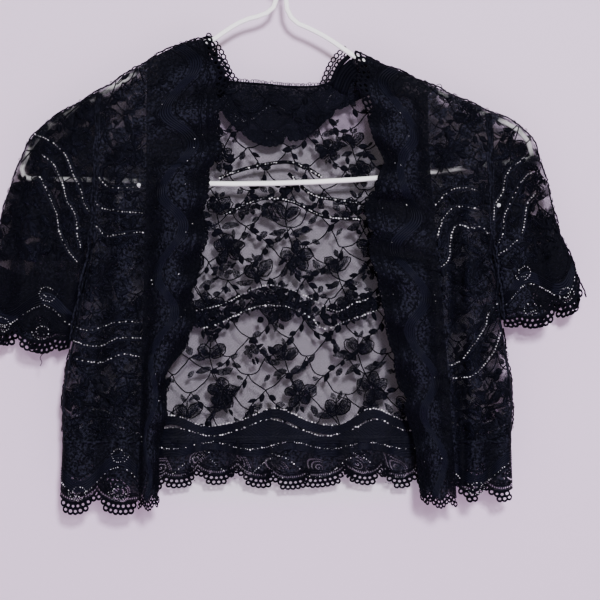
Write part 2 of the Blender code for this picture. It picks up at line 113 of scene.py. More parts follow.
# The body's edges, x and z: armhole seam down to the underarm, then side seam down to the hem
LEFT_SIDE = table(
    (-144, -152), (-146, -214), (-148, -256), (-150, -276), (-156, -306),
    (-166, -354), (-171, -374), (-174, -400), (-174, -432), (-176, -480), (-177, -520),
)
RIGHT_SIDE = table(
    (166, -168), (167, -208), (168, -240), (169, -276), (172, -300),
    (177, -337), (181, -362), (186, -396), (185, -432), (186, -468), (186, -520),
)
# The top edge of the back's net, x and z: left shoulder, down beside the rows of eyelets at the
# sides of the neck, right shoulder
NECK_NET = table(
    (-144, -152), (-104, -127), (-80, -115), (-68, -112), (-61, -116), (-56, -126), (-50, -138),
    (-44, -143.5), (-14, -146), (8, -148), (32, -147.5), (46, -141), (54, -132), (60, -125),
    (66, -124), (108, -142), (128, -151), (166, -168),
)
# Places on these lines where something begins or ends, left and right of the neck
ARMHOLE_TOPS = OUTER_FOLD[10], OUTER_FOLD[20]
COLLAR_ENDS = OUTER_FOLD[11], OUTER_FOLD[18]
NECK_TOPS = OUTER_FOLD[13], OUTER_FOLD[17]
NET_CORNERS = NECK_NET[3], NECK_NET[14]
NECK_CORD_ENDS = NECK_NET[4], NECK_NET[13]
NECK_LOOPS_ENDS = NECK_NET[7], NECK_NET[11]
# The front bands: z, seam x, free edge x
LEFT_BAND = table(
    (-109, -106, -56), (-124, -106, -46), (-141, -106, -39), (-172, -106, -49),
    (-200, -106, -46), (-216, -106.2, -54), (-244, -106.7, -58), (-272, -107.3, -57),
    (-296, -107.8, -64), (-314, -108.3, -70), (-336, -108.9, -66), (-356, -109.4, -73),
    (-372, -109.8, -86), (-388, -110.3, -91), (-410, -110.9, -88), (-432, -111.5, -95),
    (-464, -112.4, -96), (-486, -113, -94),
)
RIGHT_BAND = table(
    (-121, 118, 60), (-148, 118, 61), (-172, 118, 68), (-192, 118.3, 74),
    (-210, 119.2, 83), (-224, 120.2, 77), (-240, 121.6, 67), (-264, 123.8, 69),
    (-288, 126, 72), (-312, 128.1, 79), (-336, 130.1, 83), (-368, 132.6, 89),
    (-400, 135, 97), (-440, 137.9, 108), (-467, 139.7, 110), (-486, 141, 113),
)
# The largest folds: x and z of one end, x and z of the other, half width, height
FRONT_FOLDS = table(
    (-120, -250, -126, -425, 9, 2.6), (-136, -205, -142, -400, 7, -2.0),
    (-156, -330, -158, -470, 8, 2.8), (-190, -205, -212, -330, 9, 2.6),
    (-172, -190, -180, -335, 8, -1.8), (-208, -250, -226, -345, 7, -1.8),
    (128, -190, 124, -262, 7, -2.4), (141, -270, 146, -470, 6, -3.6),
    (131, -285, 137, -470, 6, 4.6), (153, -255, 156, -470, 6.5, 5.4),
    (166, -300, 170, -460, 5, -2.4), (186, -205, 196, -330, 8, 3.2),
    (206, -225, 226, -320, 7, -2.0), (176, -215, 182, -330, 6, -1.6),
)
BACK_FOLDS = table(
    (-120, -200, -110, -425, 14, 2.4), (-72, -230, -66, -430, 12, 2.2),
    (-28, -240, -34, -430, 13, -1.8), (14, -200, 20, -425, 14, 2.4),
    (62, -220, 56, -425, 12, -1.8), (104, -200, 112, -430, 14, 2.6),
    (148, -250, 150, -430, 10, 2.0), (-190, -205, -206, -330, 12, 2.4),
    (192, -205, 206, -320, 12, 2.4),
)
# Sleeve edging: its seam, and its hem, from the outer fold to the underarm side, x and z
LEFT_CUFF_SEAM = table((-230, -290), (-208, -299), (-182, -304), (-159.5, -306))
RIGHT_CUFF_SEAM = table((224, -266), (208, -279), (190, -289), (175, -296))
LEFT_CUFF_HEM = table((-238, -348), (-222, -352), (-204, -355), (-186, -359), (-169, -354))
RIGHT_CUFF_HEM = table((244, -318), (232, -328), (212, -336), (196, -339), (180, -337))
# The free edge of the fallen collar, x and z, and its width on the flat
COLLAR_LOW = table(
    (-82, -149), (-54, -161), (-40, -178), (-22, -192), (0, -197), (21, -189), (38, -175),
    (60, -160), (88, -150),
)
COLLAR_WIDTH = 46.0 * MM
COLLAR_SHARE = 0.64  # of its rectangle: the half moon narrows towards its ends
print("places on the outer fold:", len(OUTER_FOLD))

# %% [markdown]
# ## Lines and soft steps
#
# A few small tools for whole arrays of places at once: a smooth curve through given points, the
# place at a share of its length, how far places are from it, and steps that start and end gently.

# %% Lines
def smooth_line(points, steps=5):
    """The points of a curve that runs smoothly through the given ones."""
    ends = np.vstack([2 * points[0] - points[1], points, 2 * points[-1] - points[-2]])
    line = []
    for a, b, c, d in zip(ends, ends[1:], ends[2:], ends[3:]):
        for k in range(steps):
            t = k / steps
            line.append(
                0.5 * (2 * b + (c - a) * t + (2 * a - 5 * b + 4 * c - d) * t**2
                       + (3 * b - a - 3 * c + d) * t**3)
            )
    line.append(points[-1])
    return np.array(line)


def length_of(line):
    return float(np.linalg.norm(np.diff(line, axis=0), axis=1).sum())


def along(line, share):
    """The places at these shares of a line's length."""
    steps = np.linalg.norm(np.diff(line, axis=0), axis=1)
    length = np.concatenate([[0], np.cumsum(steps)])
    at = np.asarray(share, float) * length[-1]
    return np.stack([np.interp(at, length, line[:, k]) for k in range(line.shape[1])], axis=-1)


def spaced(line, step):
    """A line again, with its points about this far apart."""
    return along(line, np.linspace(0, 1, max(3, round(length_of(line) / step) + 1)))


def beside(line):
    """Unit vectors that point square to the left of a line, at each of its points."""
    normal = np.gradient(line, axis=0)[:, ::-1] * np.array([-1, 1])
    return normal / np.linalg.norm(normal, axis=1)[:, None]


def turned(a, b, turn, out, off):
    """Places around (a, b): out along a direction, and off to its left."""
    return np.column_stack([a + out * math.cos(turn) - off * math.sin(turn),
                            b + out * math.sin(turn) + off * math.cos(turn)])


def part_of(line, start, end):
    """The stretch of a line between its points nearest to start and to end."""
    first, last = (int(np.argmin(np.linalg.norm(line - p, axis=1))) for p in (start, end))
    cut = line[first : last + 1] if first < last else line[last : first + 1][::-1]
    return np.vstack([start, cut[1:-1], end])


def line_distance(line, x, z, batch=8000):
    """How far places in the front view are from a line there."""
    x, z = np.broadcast_arrays(np.asarray(x, float), np.asarray(z, float))
    places = np.stack([x.ravel(), z.ravel()], axis=1)
    starts, spans = line[:-1], np.diff(line, axis=0)
    reach = (spans * spans).sum(1)
    found = np.empty(len(places))
    for k in range(0, len(places), batch):
        to_place = places[k : k + batch, None] - starts
        share = np.clip((to_place * spans).sum(2) / reach, 0, 1)
        found[k : k + batch] = np.linalg.norm(to_place - share[..., None] * spans, axis=2).min(1)
    return found.reshape(x.shape)


def x_on(line, z):
    """The x of a downward line at these heights."""
    return np.interp(-np.asarray(z), -line[:, 1], line[:, 0])


def z_on(line, x):
    """The z of a line from left to right at these x."""
    return np.interp(x, line[:, 0], line[:, 1])


def column(rows, z, k):
    """Column k of a table whose first column is a falling z."""
    return np.interp(-np.asarray(z), -rows[:, 0], rows[:, k])


def eased(t):
    """0 to 1, flat at both ends."""
    t = np.clip(t, 0.0, 1.0)
    return t * t * (3 - 2 * t)


def rounded(away, radius):
    """0 at an edge and 1 from radius on, along a quarter circle."""
    t = np.clip(away / radius, 0.0, 1.0)
    return np.sqrt(1 - (1 - t) ** 2)


FOLD = smooth_line(OUTER_FOLD)
SHOULDERS = part_of(FOLD, *ARMHOLE_TOPS)
LEFT_EDGE = smooth_line(LEFT_SIDE)
RIGHT_EDGE = smooth_line(RIGHT_SIDE)
NET_EDGE = smooth_line(NECK_NET, 3)
print("outer fold, mm:", round(length_of(FOLD) / MM))

# %% [markdown]
# ## How the cloth lies
#
# One function gives the depth of the front or the back sheet at any place in the front view. Near
# the outer fold it is a round cap over the hanger's arm, lower down it spreads to its full depth,
# and at the side seams it rounds in again. The large folds are ridges and valleys between two
# places. Finer creases are added here, because soft lace on a hanger is never quite smooth.

# %% Depth of the sheets
# Fine creases: x and z of one end, x and z of the other, half width, height
FRONT_CREASES = table(
    (-128, -176, -139, -232, 3.5, -0.8), (-120, -230, -134, -262, 4, 0.7),
    (-150, -300, -138, -352, 3.5, 0.8), (-131, -372, -125, -420, 3.2, -0.8),
    (-168, -392, -148, -418, 3.5, 0.6), (-196, -232, -188, -292, 3.2, -0.7),
    (-164, -232, -178, -286, 3.6, 0.8), (-219, -262, -206, -312, 3.0, 0.6),
    (133, -176, 150, -214, 4, 0.7), (160, -212, 144, -254, 3.4, -0.8),
    (148, -300, 152, -350, 3.0, 1.0), (162, -352, 158, -410, 3.0, -0.9),
    (180, -200, 190, -258, 3.4, -0.7), (196, -214, 212, -272, 3.2, 0.8),
)
BACK_CREASES = table(
    (-96, -214, -84, -300, 5, -0.8), (-52, -262, -44, -352, 5, 0.8),
    (-12, -228, -20, -300, 5, 0.7), (34, -252, 44, -330, 5, -0.8),
    (76, -226, 84, -330, 5, 0.7), (2, -330, -6, -412, 5, -0.7),
    (-88, -330, -98, -410, 5, 0.8), (88, -352, 82, -420, 5, 0.8),
    (128, -262, 122, -352, 5, -0.8), (-130, -252, -138, -352, 5, -0.8),
)


def ridge(row, x, z):
    """The height at these places of one fold, which dies out at its ends."""
    x0, z0, x1, z1, width, high = row
    run = np.array([x1 - x0, z1 - z0])
    t = ((x - x0) * run[0] + (z - z0) * run[1]) / (run @ run)
    off = ((x - x0) * run[1] - (z - z0) * run[0]) / np.linalg.norm(run)
    return high * eased((t + 0.25) / 0.4) * eased((1.25 - t) / 0.4) * np.exp(-((off / width) ** 2))


def sheet_y(side, x, z, away, wave=0.0, lift=0.0):
    """The y of a sheet, side -1 in front and 1 behind, with a wave or a lift outwards."""
    s = line_distance(FOLD, x, z)
    radius = CAP_RADIUS + lift
    cap = radius * rounded(s + lift, radius)
    depth = cap + (DEPTH - CAP_RADIUS) * eased((s - CAP_RADIUS) / SPREAD_OVER)
    rows = (FRONT_FOLDS, FRONT_CREASES) if side < 0 else (BACK_FOLDS, BACK_CREASES)
    moved = wave + sum(ridge(row, x, z) for folds in rows for row in folds)
    loose = eased(s / FLAT_NEAR_EDGE) * eased(away / FLAT_NEAR_EDGE)
    return side * np.maximum(depth * rounded(away, SIDE_RADIUS) + loose * moved, 0)


def tube_y(front, x, z, away, wave=0.0):
    """The y of a flattened tube, such as a sleeve: its front where front is true, else its back."""
    return np.where(front, sheet_y(-1, x, z, away, wave), sheet_y(1, x, z, away, wave))


def from_edge(x, z, edge_x):
    """How far places are from an edge, given as its x at a height; it ends at the underarm."""
    below = np.minimum(z, UNDERARM_Z)
    return np.hypot(x - edge_x(below), (z - below) / UNDERARM_STRETCH)


def left_x(z):
    return x_on(LEFT_EDGE, z)


def right_x(z):
    return x_on(RIGHT_EDGE, z)


def body_away(x, z):
    return np.minimum(from_edge(x, z, left_x), from_edge(x, z, right_x))


all_folds = (FRONT_FOLDS, FRONT_CREASES, BACK_FOLDS, BACK_CREASES)
print("folds and creases:", sum(len(rows) for rows in all_folds))

# %% [markdown]
# ## Cloth and the work on it
#
# A Cloth knows where each place of its flat pattern hangs, and which way it faces there. Work
# collects threads in the flat pattern: every cord, leaf, petal and eyelet is one kind of strand,
# a thin line with a width and a height at each of its points. When a Work is hung, all its
# corners move to the cloth in one step. That is far quicker than shaping hundreds of small
# objects one by one.

# %% Cloth
class Cloth:
    """A piece of cloth: place(a, b) says where each place of its flat pattern hangs."""

    def __init__(self, place, out=1):
        self.place = place
        self.out = out

    def hang(self, a, b, lift=None):
        """The places of a flat pattern on the hung cloth, lifted off it by these heights."""
        here = self.place(a, b)
        if lift is None:
            return here
        step = 0.15 * MM
        across = self.place(a + step, b) - here
        down = self.place(a, b - step) - here
        normal = np.cross(down, across)
        normal /= np.maximum(np.linalg.norm(normal, axis=-1, keepdims=True), 1e-12)
        return here + self.out * np.asarray(lift)[..., None] * normal


flat_cloth = Cloth(lambda a, b: np.stack([a, 0 * a, b], axis=-1))
lifted = flat_cloth.hang(np.zeros(1), np.zeros(1), np.array([MM]))
print("a thread lifted 1 mm off a flat cloth is at y, mm:", round(float(lifted[0, 1]) / MM, 3))

# %% [markdown]
# ## Threads
#
# A Work holds threads in the flat pattern. A strand has four sides, with a width and a height at
# each point, so one method draws an even cord, a leaf that is wide in the middle, or the rim of
# an eyelet. Each strand also gets a number, its shade, which the material reads to tell threads
# apart.

# %% Threads
LEAF_HEIGHT = 0.35 * MM  # of leaves, petals and silver stitches above the net


class Work:
    """Threads in the flat pattern of a cloth, as corners (a, b, height) and faces."""

    def __init__(self, holds=None):
        self.holds = holds  # says which places (a, b) are on the cloth
        self.corners = []
        self.quads = []
        self.shades = []
        self.count = 0

    def keeps(self, line):
        """Says whether the whole line is on the cloth."""
        return self.holds is None or bool(np.all(self.holds(line[:, 0], line[:, 1])))

    def add(self, corners, quads, shades):
        """Puts one more thread beside the others."""
        self.corners.append(corners)
        self.quads.append(quads + self.count)
        self.shades.append(shades)
        self.count += len(corners)

    def strand(self, line, width, height=None, shade=0.5, closed=False):
        """A thread along a line, four-sided, with a half width and a height at each point."""
        line = np.asarray(line, float)
        if not self.keeps(line):
            return
        n = len(line)
        if closed:
            tangent = np.roll(line, -1, axis=0) - np.roll(line, 1, axis=0)
        else:
            tangent = np.gradient(line, axis=0)
        tangent /= np.maximum(np.linalg.norm(tangent, axis=1), 1e-9)[:, None]
        side = np.stack([-tangent[:, 1], tangent[:, 0]], axis=1)
        width = np.broadcast_to(width, n)
        height = width * 0.6 if height is None else np.broadcast_to(height, n)
        zero = np.zeros(n)
        ring = np.stack([
            np.column_stack([line + side * width[:, None], zero]),
            np.column_stack([line, height]),
            np.column_stack([line - side * width[:, None], zero]),
            np.column_stack([line, -height]),
        ], axis=1).reshape(-1, 3)
        k = np.arange(n if closed else n - 1)[:, None]
        j = np.arange(4)[None]
        following = (k + 1) % n
        quads = np.stack([4 * k + j, 4 * k + (j + 1) % 4, 4 * following + (j + 1) % 4,
                          4 * following + j], axis=-1).reshape(-1, 4)
        if not closed:
            last = 4 * (n - 1)
            quads = np.vstack([quads, [[3, 2, 1, 0]], [[last, last + 1, last + 2, last + 3]]])
        self.add(ring, quads, np.full(4 * n, shade))

    def runs(self, line):
        """The stretches of a line that are on the cloth."""
        if self.holds is None:
            return [line]
        on = np.concatenate([[False], self.holds(line[:, 0], line[:, 1]), [False]])
        changes = np.flatnonzero(on[1:] != on[:-1])
        return [line[i:j] for i, j in zip(changes[::2], changes[1::2]) if j - i > 2]

    def cord(self, line, width, step=2.5 * MM, shade=0.5, height=None):
        """An even thread along a line, left out where the cloth ends."""
        for run in self.runs(spaced(np.asarray(line, float), step)):
            self.strand(run, width, shade=shade, height=height)

    def beads(self, line, pitch, size, rng, gaps=0.0):
        """Short glinting stitches of metal thread along a line."""
        box = np.array([(x, y, z) for z in (-1, 1) for y in (-1, 1) for x in (-1, 1)], float)
        faces = np.array([(0, 2, 3, 1), (4, 5, 7, 6), (0, 1, 5, 4), (2, 6, 7, 3), (0, 4, 6, 2),
                          (1, 3, 7, 5)])
        line = spaced(np.asarray(line, float), pitch)
        tangent = np.gradient(line, axis=0)
        tangent /= np.maximum(np.linalg.norm(tangent, axis=1), 1e-9)[:, None]
        on = rng.random(len(line)) >= gaps
        if self.holds is not None:
            on &= self.holds(line[:, 0], line[:, 1])
        for place, way in zip(line[on] + rng.normal(0, 0.22 * MM, line[on].shape), tangent[on]):
            twist = rng.normal(0, 0.35)
            way = way + twist * np.array([-way[1], way[0]])
            bead = box * size * (0.65 + 0.7 * rng.random())
            corners = np.column_stack([
                place[0] + bead[:, 0] * way[0] - bead[:, 1] * way[1] * 0.7,
                place[1] + bead[:, 0] * way[1] + bead[:, 1] * way[0] * 0.7,
                bead[:, 2] * 1.2 + bead[:, 1] * rng.normal(0, 0.4) + LEAF_HEIGHT,
            ])
            self.add(corners, faces, np.full(8, rng.random()))

    def leaf(self, a, b, turn, long, wide, profile, bend=0.0, shade=0.5):
        """A leaf or a petal from its foot at (a, b), as wide as a profile says along it."""
        u = np.array([0, 0.12, 0.3, 0.5, 0.7, 0.88, 1])
        line = turned(a, b, turn, long * u, bend * long * u * (1 - u) * 4)
        self.strand(line, wide * np.array(profile), LEAF_HEIGHT * np.array(profile), shade=shade)

    def loop(self, a, b, radius_a, radius_b, width, turn=0.0, points=9, shade=0.5):
        """A closed round thread, such as the rim of an eyelet."""
        t = 2 * math.pi * np.arange(points) / points
        line = turned(a, b, turn, radius_a * np.cos(t), radius_b * np.sin(t))
        self.strand(line, width, shade=shade, closed=True)


sample = Work()
sample.strand([(0, 0), (MM, 0), (2 * MM, 0)], 0.3 * MM)
print("corners of a thread with three points:", sample.count)

# %% [markdown]
# ## Crests and valleys
#
# Black cloth swallows so much light that its folds hardly show, so light is painted on the crests
# and shade in the valleys. Each point carries a number that compares its depth with the mean depth
# around it, which is worked out on a coarse grid, and the materials read it as painted light and
# shade.

# %% Crests and valleys
AROUND = 12 * MM  # cell of the grid for the mean depth
CREST_HEIGHT = 1.1 * MM


def crests(points):
    """1 on the crests of the folds and 0 in the valleys."""
    spots = points[:, [0, 2]] / AROUND
    spots = spots - spots.min(axis=0) + 2
    low = np.floor(spots).astype(int)
    share = spots - low
    grid = np.zeros((2, *(low.max(axis=0) + 4)))
    near = [(tuple((low + step).T), np.prod(np.where(step, share, 1 - share), axis=1))
            for step in ((0, 0), (0, 1), (1, 0), (1, 1))]
    for at, part in near:
        np.add.at(grid[0], at, part * points[:, 1])
        np.add.at(grid[1], at, part)
    for axis in (1, 2):
        grid = grid + 0.5 * (np.roll(grid, 1, axis) + np.roll(grid, -1, axis))
    depth, weight = (sum(part * layer[at] for at, part in near) for layer in grid)
    mean = depth / weight
    outward = np.where(mean < 0, -1, 1)
    return 0.5 + 0.5 * np.tanh(outward * (points[:, 1] - mean) / CREST_HEIGHT)


x, z = (v.ravel() * MM for v in np.meshgrid(np.arange(0, 100, 2), np.arange(0, 100, 2)))
sample = crests(np.column_stack([x, 10 * MM + 1.5 * MM * np.sin(x / (6 * MM)), z]))
print("in waves 1.5 mm high it runs from", round(sample.min(), 2), "to", round(sample.max(), 2))

# %% [markdown]
# ## From arrays to pieces
#
# The corners and faces of a whole sheet or of all its threads become one mesh in a single step,
# and ride on the part's one body. A sheet keeps its flat pattern as a UV map, so that patterns in
# the material follow the cloth as it was cut.

# %% From arrays to pieces
def place_in_scene(name, data):
    """A new object in the scene, such as a mesh or a lamp."""
    made = bpy.data.objects.new(name, data)
    bpy.context.scene.collection.objects.link(made)
    return made


def mesh_piece(name, points, quads, material, shades=None, flat=None):
    """A mesh object that rides on the part's one body."""
    mesh = bpy.data.meshes.new(name)
    mesh.vertices.add(len(points))
    mesh.vertices.foreach_set("co", np.ascontiguousarray(points, np.float32).ravel())
    mesh.loops.add(quads.size)
    mesh.loops.foreach_set("vertex_index", quads.astype(np.int32).ravel())
    mesh.polygons.add(len(quads))
    mesh.polygons.foreach_set("loop_start", np.arange(0, quads.size, 4, dtype=np.int32))
    mesh.update(calc_edges=True)
    mesh.shade_smooth()
    # The crest number, which the materials read as painted light and shade, and each thread's own
    # number
    for label, values in (("crest", crests(points)), ("shade", shades)):
        if values is not None:
            layer = mesh.attributes.new(label, "FLOAT", "POINT")
            layer.data.foreach_set("value", values.astype(np.float32))
    if flat is not None:
        cut = mesh.uv_layers.new(name="cut")
        cut.data.foreach_set("uv", flat[quads.ravel()].astype(np.float32).ravel())
    mesh.materials.append(material)
    piece = place_in_scene(name, mesh)
    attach(piece, "root")
    return piece


def hang_work(name, work, cloth, material):
    """All the threads of a Work as one piece on a cloth."""
    corners = np.vstack(work.corners)
    points = cloth.hang(corners[:, 0], corners[:, 1], corners[:, 2])
    quads = np.vstack(work.quads)[:, :: cloth.out]
    piece = mesh_piece(name, points, quads, material, np.concatenate(work.shades))
    print(f"{name}: {2 * len(quads)} triangles")
    return piece


flat_sizes = {}


def hang_net(name, cloth, a, b, material, uv=None):
    """A shell of net: a grid of places of the flat pattern, hung on the cloth."""
    rows, columns = a.shape
    first, second = (np.stack([v[1:, 1:] - v[:-1, :-1], v[1:, :-1] - v[:-1, 1:]]) for v in (a, b))
    area = 0.5 * np.abs(first[0] * second[1] - first[1] * second[0]).sum()
    flat_sizes[name] = np.ptp(a), np.ptp(b), area
    points = cloth.hang(a, b).reshape(-1, 3)
    i, j = np.meshgrid(np.arange(columns - 1), np.arange(rows - 1))
    corner = (j * columns + i).ravel()
    quads = np.stack([corner, corner + 1, corner + columns + 1, corner + columns], axis=1)
    p, q, r = (points[quads[:, k]] for k in (0, 1, 3))
    if (p[:, 1] * np.cross(q - p, r - p)[:, 1]).sum() < 0:  # then its faces point to the inside
        quads = quads[:, ::-1]
    flat = np.stack([a, b] if uv is None else uv, axis=-1).reshape(-1, 2)
    return mesh_piece(name, points, quads, material, flat=flat)


print("sheets hung so far:", len(flat_sizes))

# %% [markdown]
# ## Finishes
#
# Shader maths is easier to read as expressions. A Signal wraps a socket, and its operators add
# the Math nodes. A Finish is one material: any other node comes from its node method.

# %% Writing shaders as expressions
class Signal:
    """A number on its way through a material's nodes."""

    def __init__(self, finish, socket):
        self.finish = finish
        self.socket = socket

    def math(self, operation, *others, swap=False):
        values = (*others, self) if swap else (self, *others)
        return self.finish.node("ShaderNodeMath", {"operation": operation}, *values)

    def __add__(self, other):
        return self.math("ADD", other)

    __radd__ = __add__

    def __mul__(self, other):
        return self.math("MULTIPLY", other)

    __rmul__ = __mul__

    def __sub__(self, other):
        return self.math("SUBTRACT", other)

    def __rsub__(self, other):
        return self.math("SUBTRACT", other, swap=True)

    def __truediv__(self, other):
        return self.math("DIVIDE", other)

    def sin(self):
        return self.math("SINE")

    def abs(self):
        return self.math("ABSOLUTE")

    def root(self):
        return self.math("SQRT")

    def fract(self):
        return self.math("FRACT")

    def angle(self, other):
        """The angle whose sine side is this and whose cosine side is the other."""
        return self.math("ARCTAN2", other)

    def most(self, other):
        return self.math("MAXIMUM", other)

    def least(self, other):
        return self.math("MINIMUM", other)

    def step(self, low, high):
        """0 below low, 1 above high, soft between."""
        settings = {"interpolation_type": "SMOOTHSTEP"}
        return self.finish.node("ShaderNodeMapRange", settings, self, low, high)


print("what a signal can do:", *(name for name in vars(Signal) if name[0] != "_"))

# %% [markdown]
# ## One class for all materials
#
# A Finish starts from a Principled shader with its even numbers set, and feeds varying signals
# into it. Its helpers give the usual sources: the flat pattern's own coordinates, noise,
# scattered cells and the shade of each thread.

# %% One class for all materials
class Finish:
    """One material, built round a Principled BSDF."""

    def __init__(self, name, **fixed):
        self.material = bpy.data.materials.new(name)
        self.material.use_nodes = True
        self.tree = self.material.node_tree
        self.shader = self.tree.nodes["Principled BSDF"]
        for socket, value in fixed.items():
            self.shader.inputs[socket.replace("_", " ")].default_value = value

    def node(self, kind, settings=None, *values, out=0, **named):
        """One node with these settings and inputs; what comes out of it is a signal."""
        made = self.tree.nodes.new(kind)
        for key, value in (settings or {}).items():
            setattr(made, key, value)
        for key, value in [*enumerate(values), *named.items()]:
            socket = made.inputs[key.replace("_", " ") if isinstance(key, str) else key]
            if isinstance(value, Signal):
                self.tree.links.new(value.socket, socket)
            else:
                socket.default_value = value
        return Signal(self, made.outputs[out])

    def feed(self, socket, signal):
        self.tree.links.new(signal.socket, self.shader.inputs[socket])

    def axes(self, vector, *names):
        """These parts of a vector, each as a signal."""
        node = self.node("ShaderNodeSeparateXYZ", None, vector).socket.node
        return (Signal(self, node.outputs[name]) for name in names)

    def cut(self):
        """The flat pattern's coordinates in millimetres, from the piece's own UV map."""
        uv = self.node("ShaderNodeUVMap", {"uv_map": "cut"})
        a, b = self.axes(uv, "X", "Y")
        return a * (1 / MM), b * (1 / MM)

    def place(self):
        return self.node("ShaderNodeTexCoord", out="Object")

    def noise(self, scale, detail=2.0):
        return self.node("ShaderNodeTexNoise", Vector=self.place(), Scale=scale, Detail=detail)

    def cells(self, scale):
        """The distance from the middle of the nearest of many scattered cells."""
        return self.node("ShaderNodeTexVoronoi", Vector=self.place(), Scale=scale)

    def shade(self):
        """Each thread's own number, from 0 up."""
        return self.node("ShaderNodeAttribute", {"attribute_name": "shade"}, out="Fac")

    def crest(self):
        """1 on the crests of the folds and 0 in the valleys, read as painted light and shade."""
        return self.node("ShaderNodeAttribute", {"attribute_name": "crest"}, out="Fac")

    def blend(self, factor, first, second):
        """A colour from the first to the second as the factor grows."""
        made = self.node("ShaderNodeMix", {"data_type": "RGBA"}, out=2)
        sockets = made.socket.node.inputs
        self.tree.links.new(factor.socket, sockets[0])
        for socket, value in ((sockets[6], first), (sockets[7], second)):
            if isinstance(value, Signal):
                self.tree.links.new(value.socket, socket)
            else:
                socket.default_value = (*value, 1)
        return made

    def bump(self, height, distance, strength):
        relief = self.node("ShaderNodeBump", Height=height, Distance=distance, Strength=strength)
        self.feed("Normal", relief)


print("what a material can do:", *(name for name in vars(Finish) if name[0] != "_"))

# %% [markdown]
# ## Black that is not quite black
#
# Lace yarn is dyed a blue black. Three tones of it are mixed by noise and by the folds: without
# them a black piece would look like a hole in the picture. The noise gives the yarn's uneven tone,
# and the lighter tones are also painted light on the crests of the folds, with painted shade left
# in the valleys. Its gloss is very low, because yarn scatters light.

# %% Black tones
BLACK = (0.0010, 0.0011, 0.0026)
# The two lighter tones are partly the yarn's uneven tone and partly painted light on the crests of
# the folds
BLACK_LIT = (0.0046, 0.0050, 0.0102)
BLACK_SPECKS_AND_PAINTED_LIGHT = (0.0092, 0.0098, 0.0172)


def lace_finish(name):
    """A matt black finish with a trace of bluish sheen."""
    return Finish(name, Roughness=0.7, Specular_IOR_Level=0.03, Sheen_Weight=0.007,
                  Sheen_Roughness=0.4, Sheen_Tint=(0.62, 0.60, 0.85, 1))


def speckled_yarn_and_painted_fold_shade(finish, valley, gain):
    """Colour and relief of close lace: uneven yarn, painted shade in valleys, painted light on
    crests.
    """
    # The speckles grow with the crest number: painted light on the crests of the folds and painted
    # shade in the valleys
    yarn = finish.noise(560, 3).step(0.40, 0.70) * (valley + gain * finish.crest())
    finish.feed("Base Color", finish.blend(yarn, BLACK, BLACK_SPECKS_AND_PAINTED_LIGHT))
    finish.bump(finish.noise(300, 3), 0.0012, 0.8)


print("the darkest yarn reflects, %:", round(100 * max(BLACK), 2))

# %% [markdown]
# ## The fine net of the back
#
# The net is far too fine to model thread by thread, so it is drawn in the material: two families
# of slanting lines in the flat pattern are thread, and between them the cloth is see-through.

# %% The fine net of the back
NET_CELL = 1.15  # millimetres


def threads(across, half_width):
    """1 on thin lines where a number is whole, 0 between them."""
    wave = (across * math.pi).sin().abs()
    return 1 - wave.step(half_width, half_width + 0.12)


def netting(finish, half_width):
    """1 on the threads of a net, whose half width is a share of a cell."""
    a, b = finish.cut()
    across, back = (threads(way / NET_CELL, half_width) for way in (a + b, a - b))
    return across.most(back)


net = lace_finish("fine_net")
net.feed("Alpha", netting(net, 0.45) * 0.95)
# Noise gives the yarn's uneven tone, and the crest number adds painted light on the crests of the
# folds and painted shade in the valleys
net.feed("Base Color", net.blend(net.noise(60) * (0.5 + net.crest()), BLACK, BLACK_LIT))
back_width = float(right_x(UNDERARM_Z) - left_x(UNDERARM_Z))
print("net cells across the back:", round(back_width / MM / NET_CELL))

# %% [markdown]
# ## The closer ground of fronts and sleeves
#
# On the fronts and sleeves the lace is worked so closely that it is nearly opaque. Scattered
# cells stand for the worked shapes. A few places are listed where the real lace is sparser and
# the wall or the hanger shows through.

# %% The closer ground of fronts and sleeves
# Places where the lace is sparser: middle x and z, half width and half height, how much
SPARSE = (
    (-133, -143, 22, 9, 1.0), (-208, -205, 9, 22, 0.8), (-222, -330, 14, 12, 0.3),
    (188, -190, 20, 18, 1.0), (206, -238, 13, 28, 0.8), (134, -218, 26, 2.6, 1.0),
    (-190, -224, 30, 4, 0.8), (168, -402, 15, 15, 0.8), (176, -362, 11, 24, 0.8),
    (-162, -396, 12, 14, 0.5), (150, -148, 18, 7, 0.6),
)
grown_net = lace_finish("grown_net")
a, b = grown_net.cut()
sparse = 0
for x, z, half_x, half_z, amount in SPARSE:
    p, q = (a - x) / half_x, (b - z) / half_z
    sparse = (1 - (p * p + q * q).step(0.4, 1.3)) * amount + sparse
shapes = 1 - (grown_net.cells(78) + sparse * 0.16).step(0.46, 0.58)
patches = (grown_net.noise(26) - sparse * 0.12).step(0.22, 0.32)
sparse = sparse.least(1)
ground = netting(grown_net, 0.64) * (1 - sparse * 0.22)
specks = grown_net.noise(620, 1).step(0.54, 0.66)
grown_net.feed("Alpha", ground.most(shapes * patches) * (0.985 - specks * 0.13 - sparse * 0.30))
speckled_yarn_and_painted_fold_shade(grown_net, 0.30, 1.3)
print("sparser places in the lace:", len(SPARSE))

# %% [markdown]
# ## The ground of the edging
#
# The edging has a close ground with rows of tiny holes. Some follow the scallops, some curl up in
# scrolls. They are drawn in polar coordinates round a middle that repeats along the strip.

# %% The ground of the edging
# All in millimetres
PITCH = 38.0  # of the edging for each scroll
DOT = 2.0  # from one small hole to the next
ROW_B = 11.0  # from the scalloped edge to the row of holes that follows it
SCROLL_B, SCROLL_SIZE = 18.0, 9.5  # from the scalloped edge, and across half of a scroll


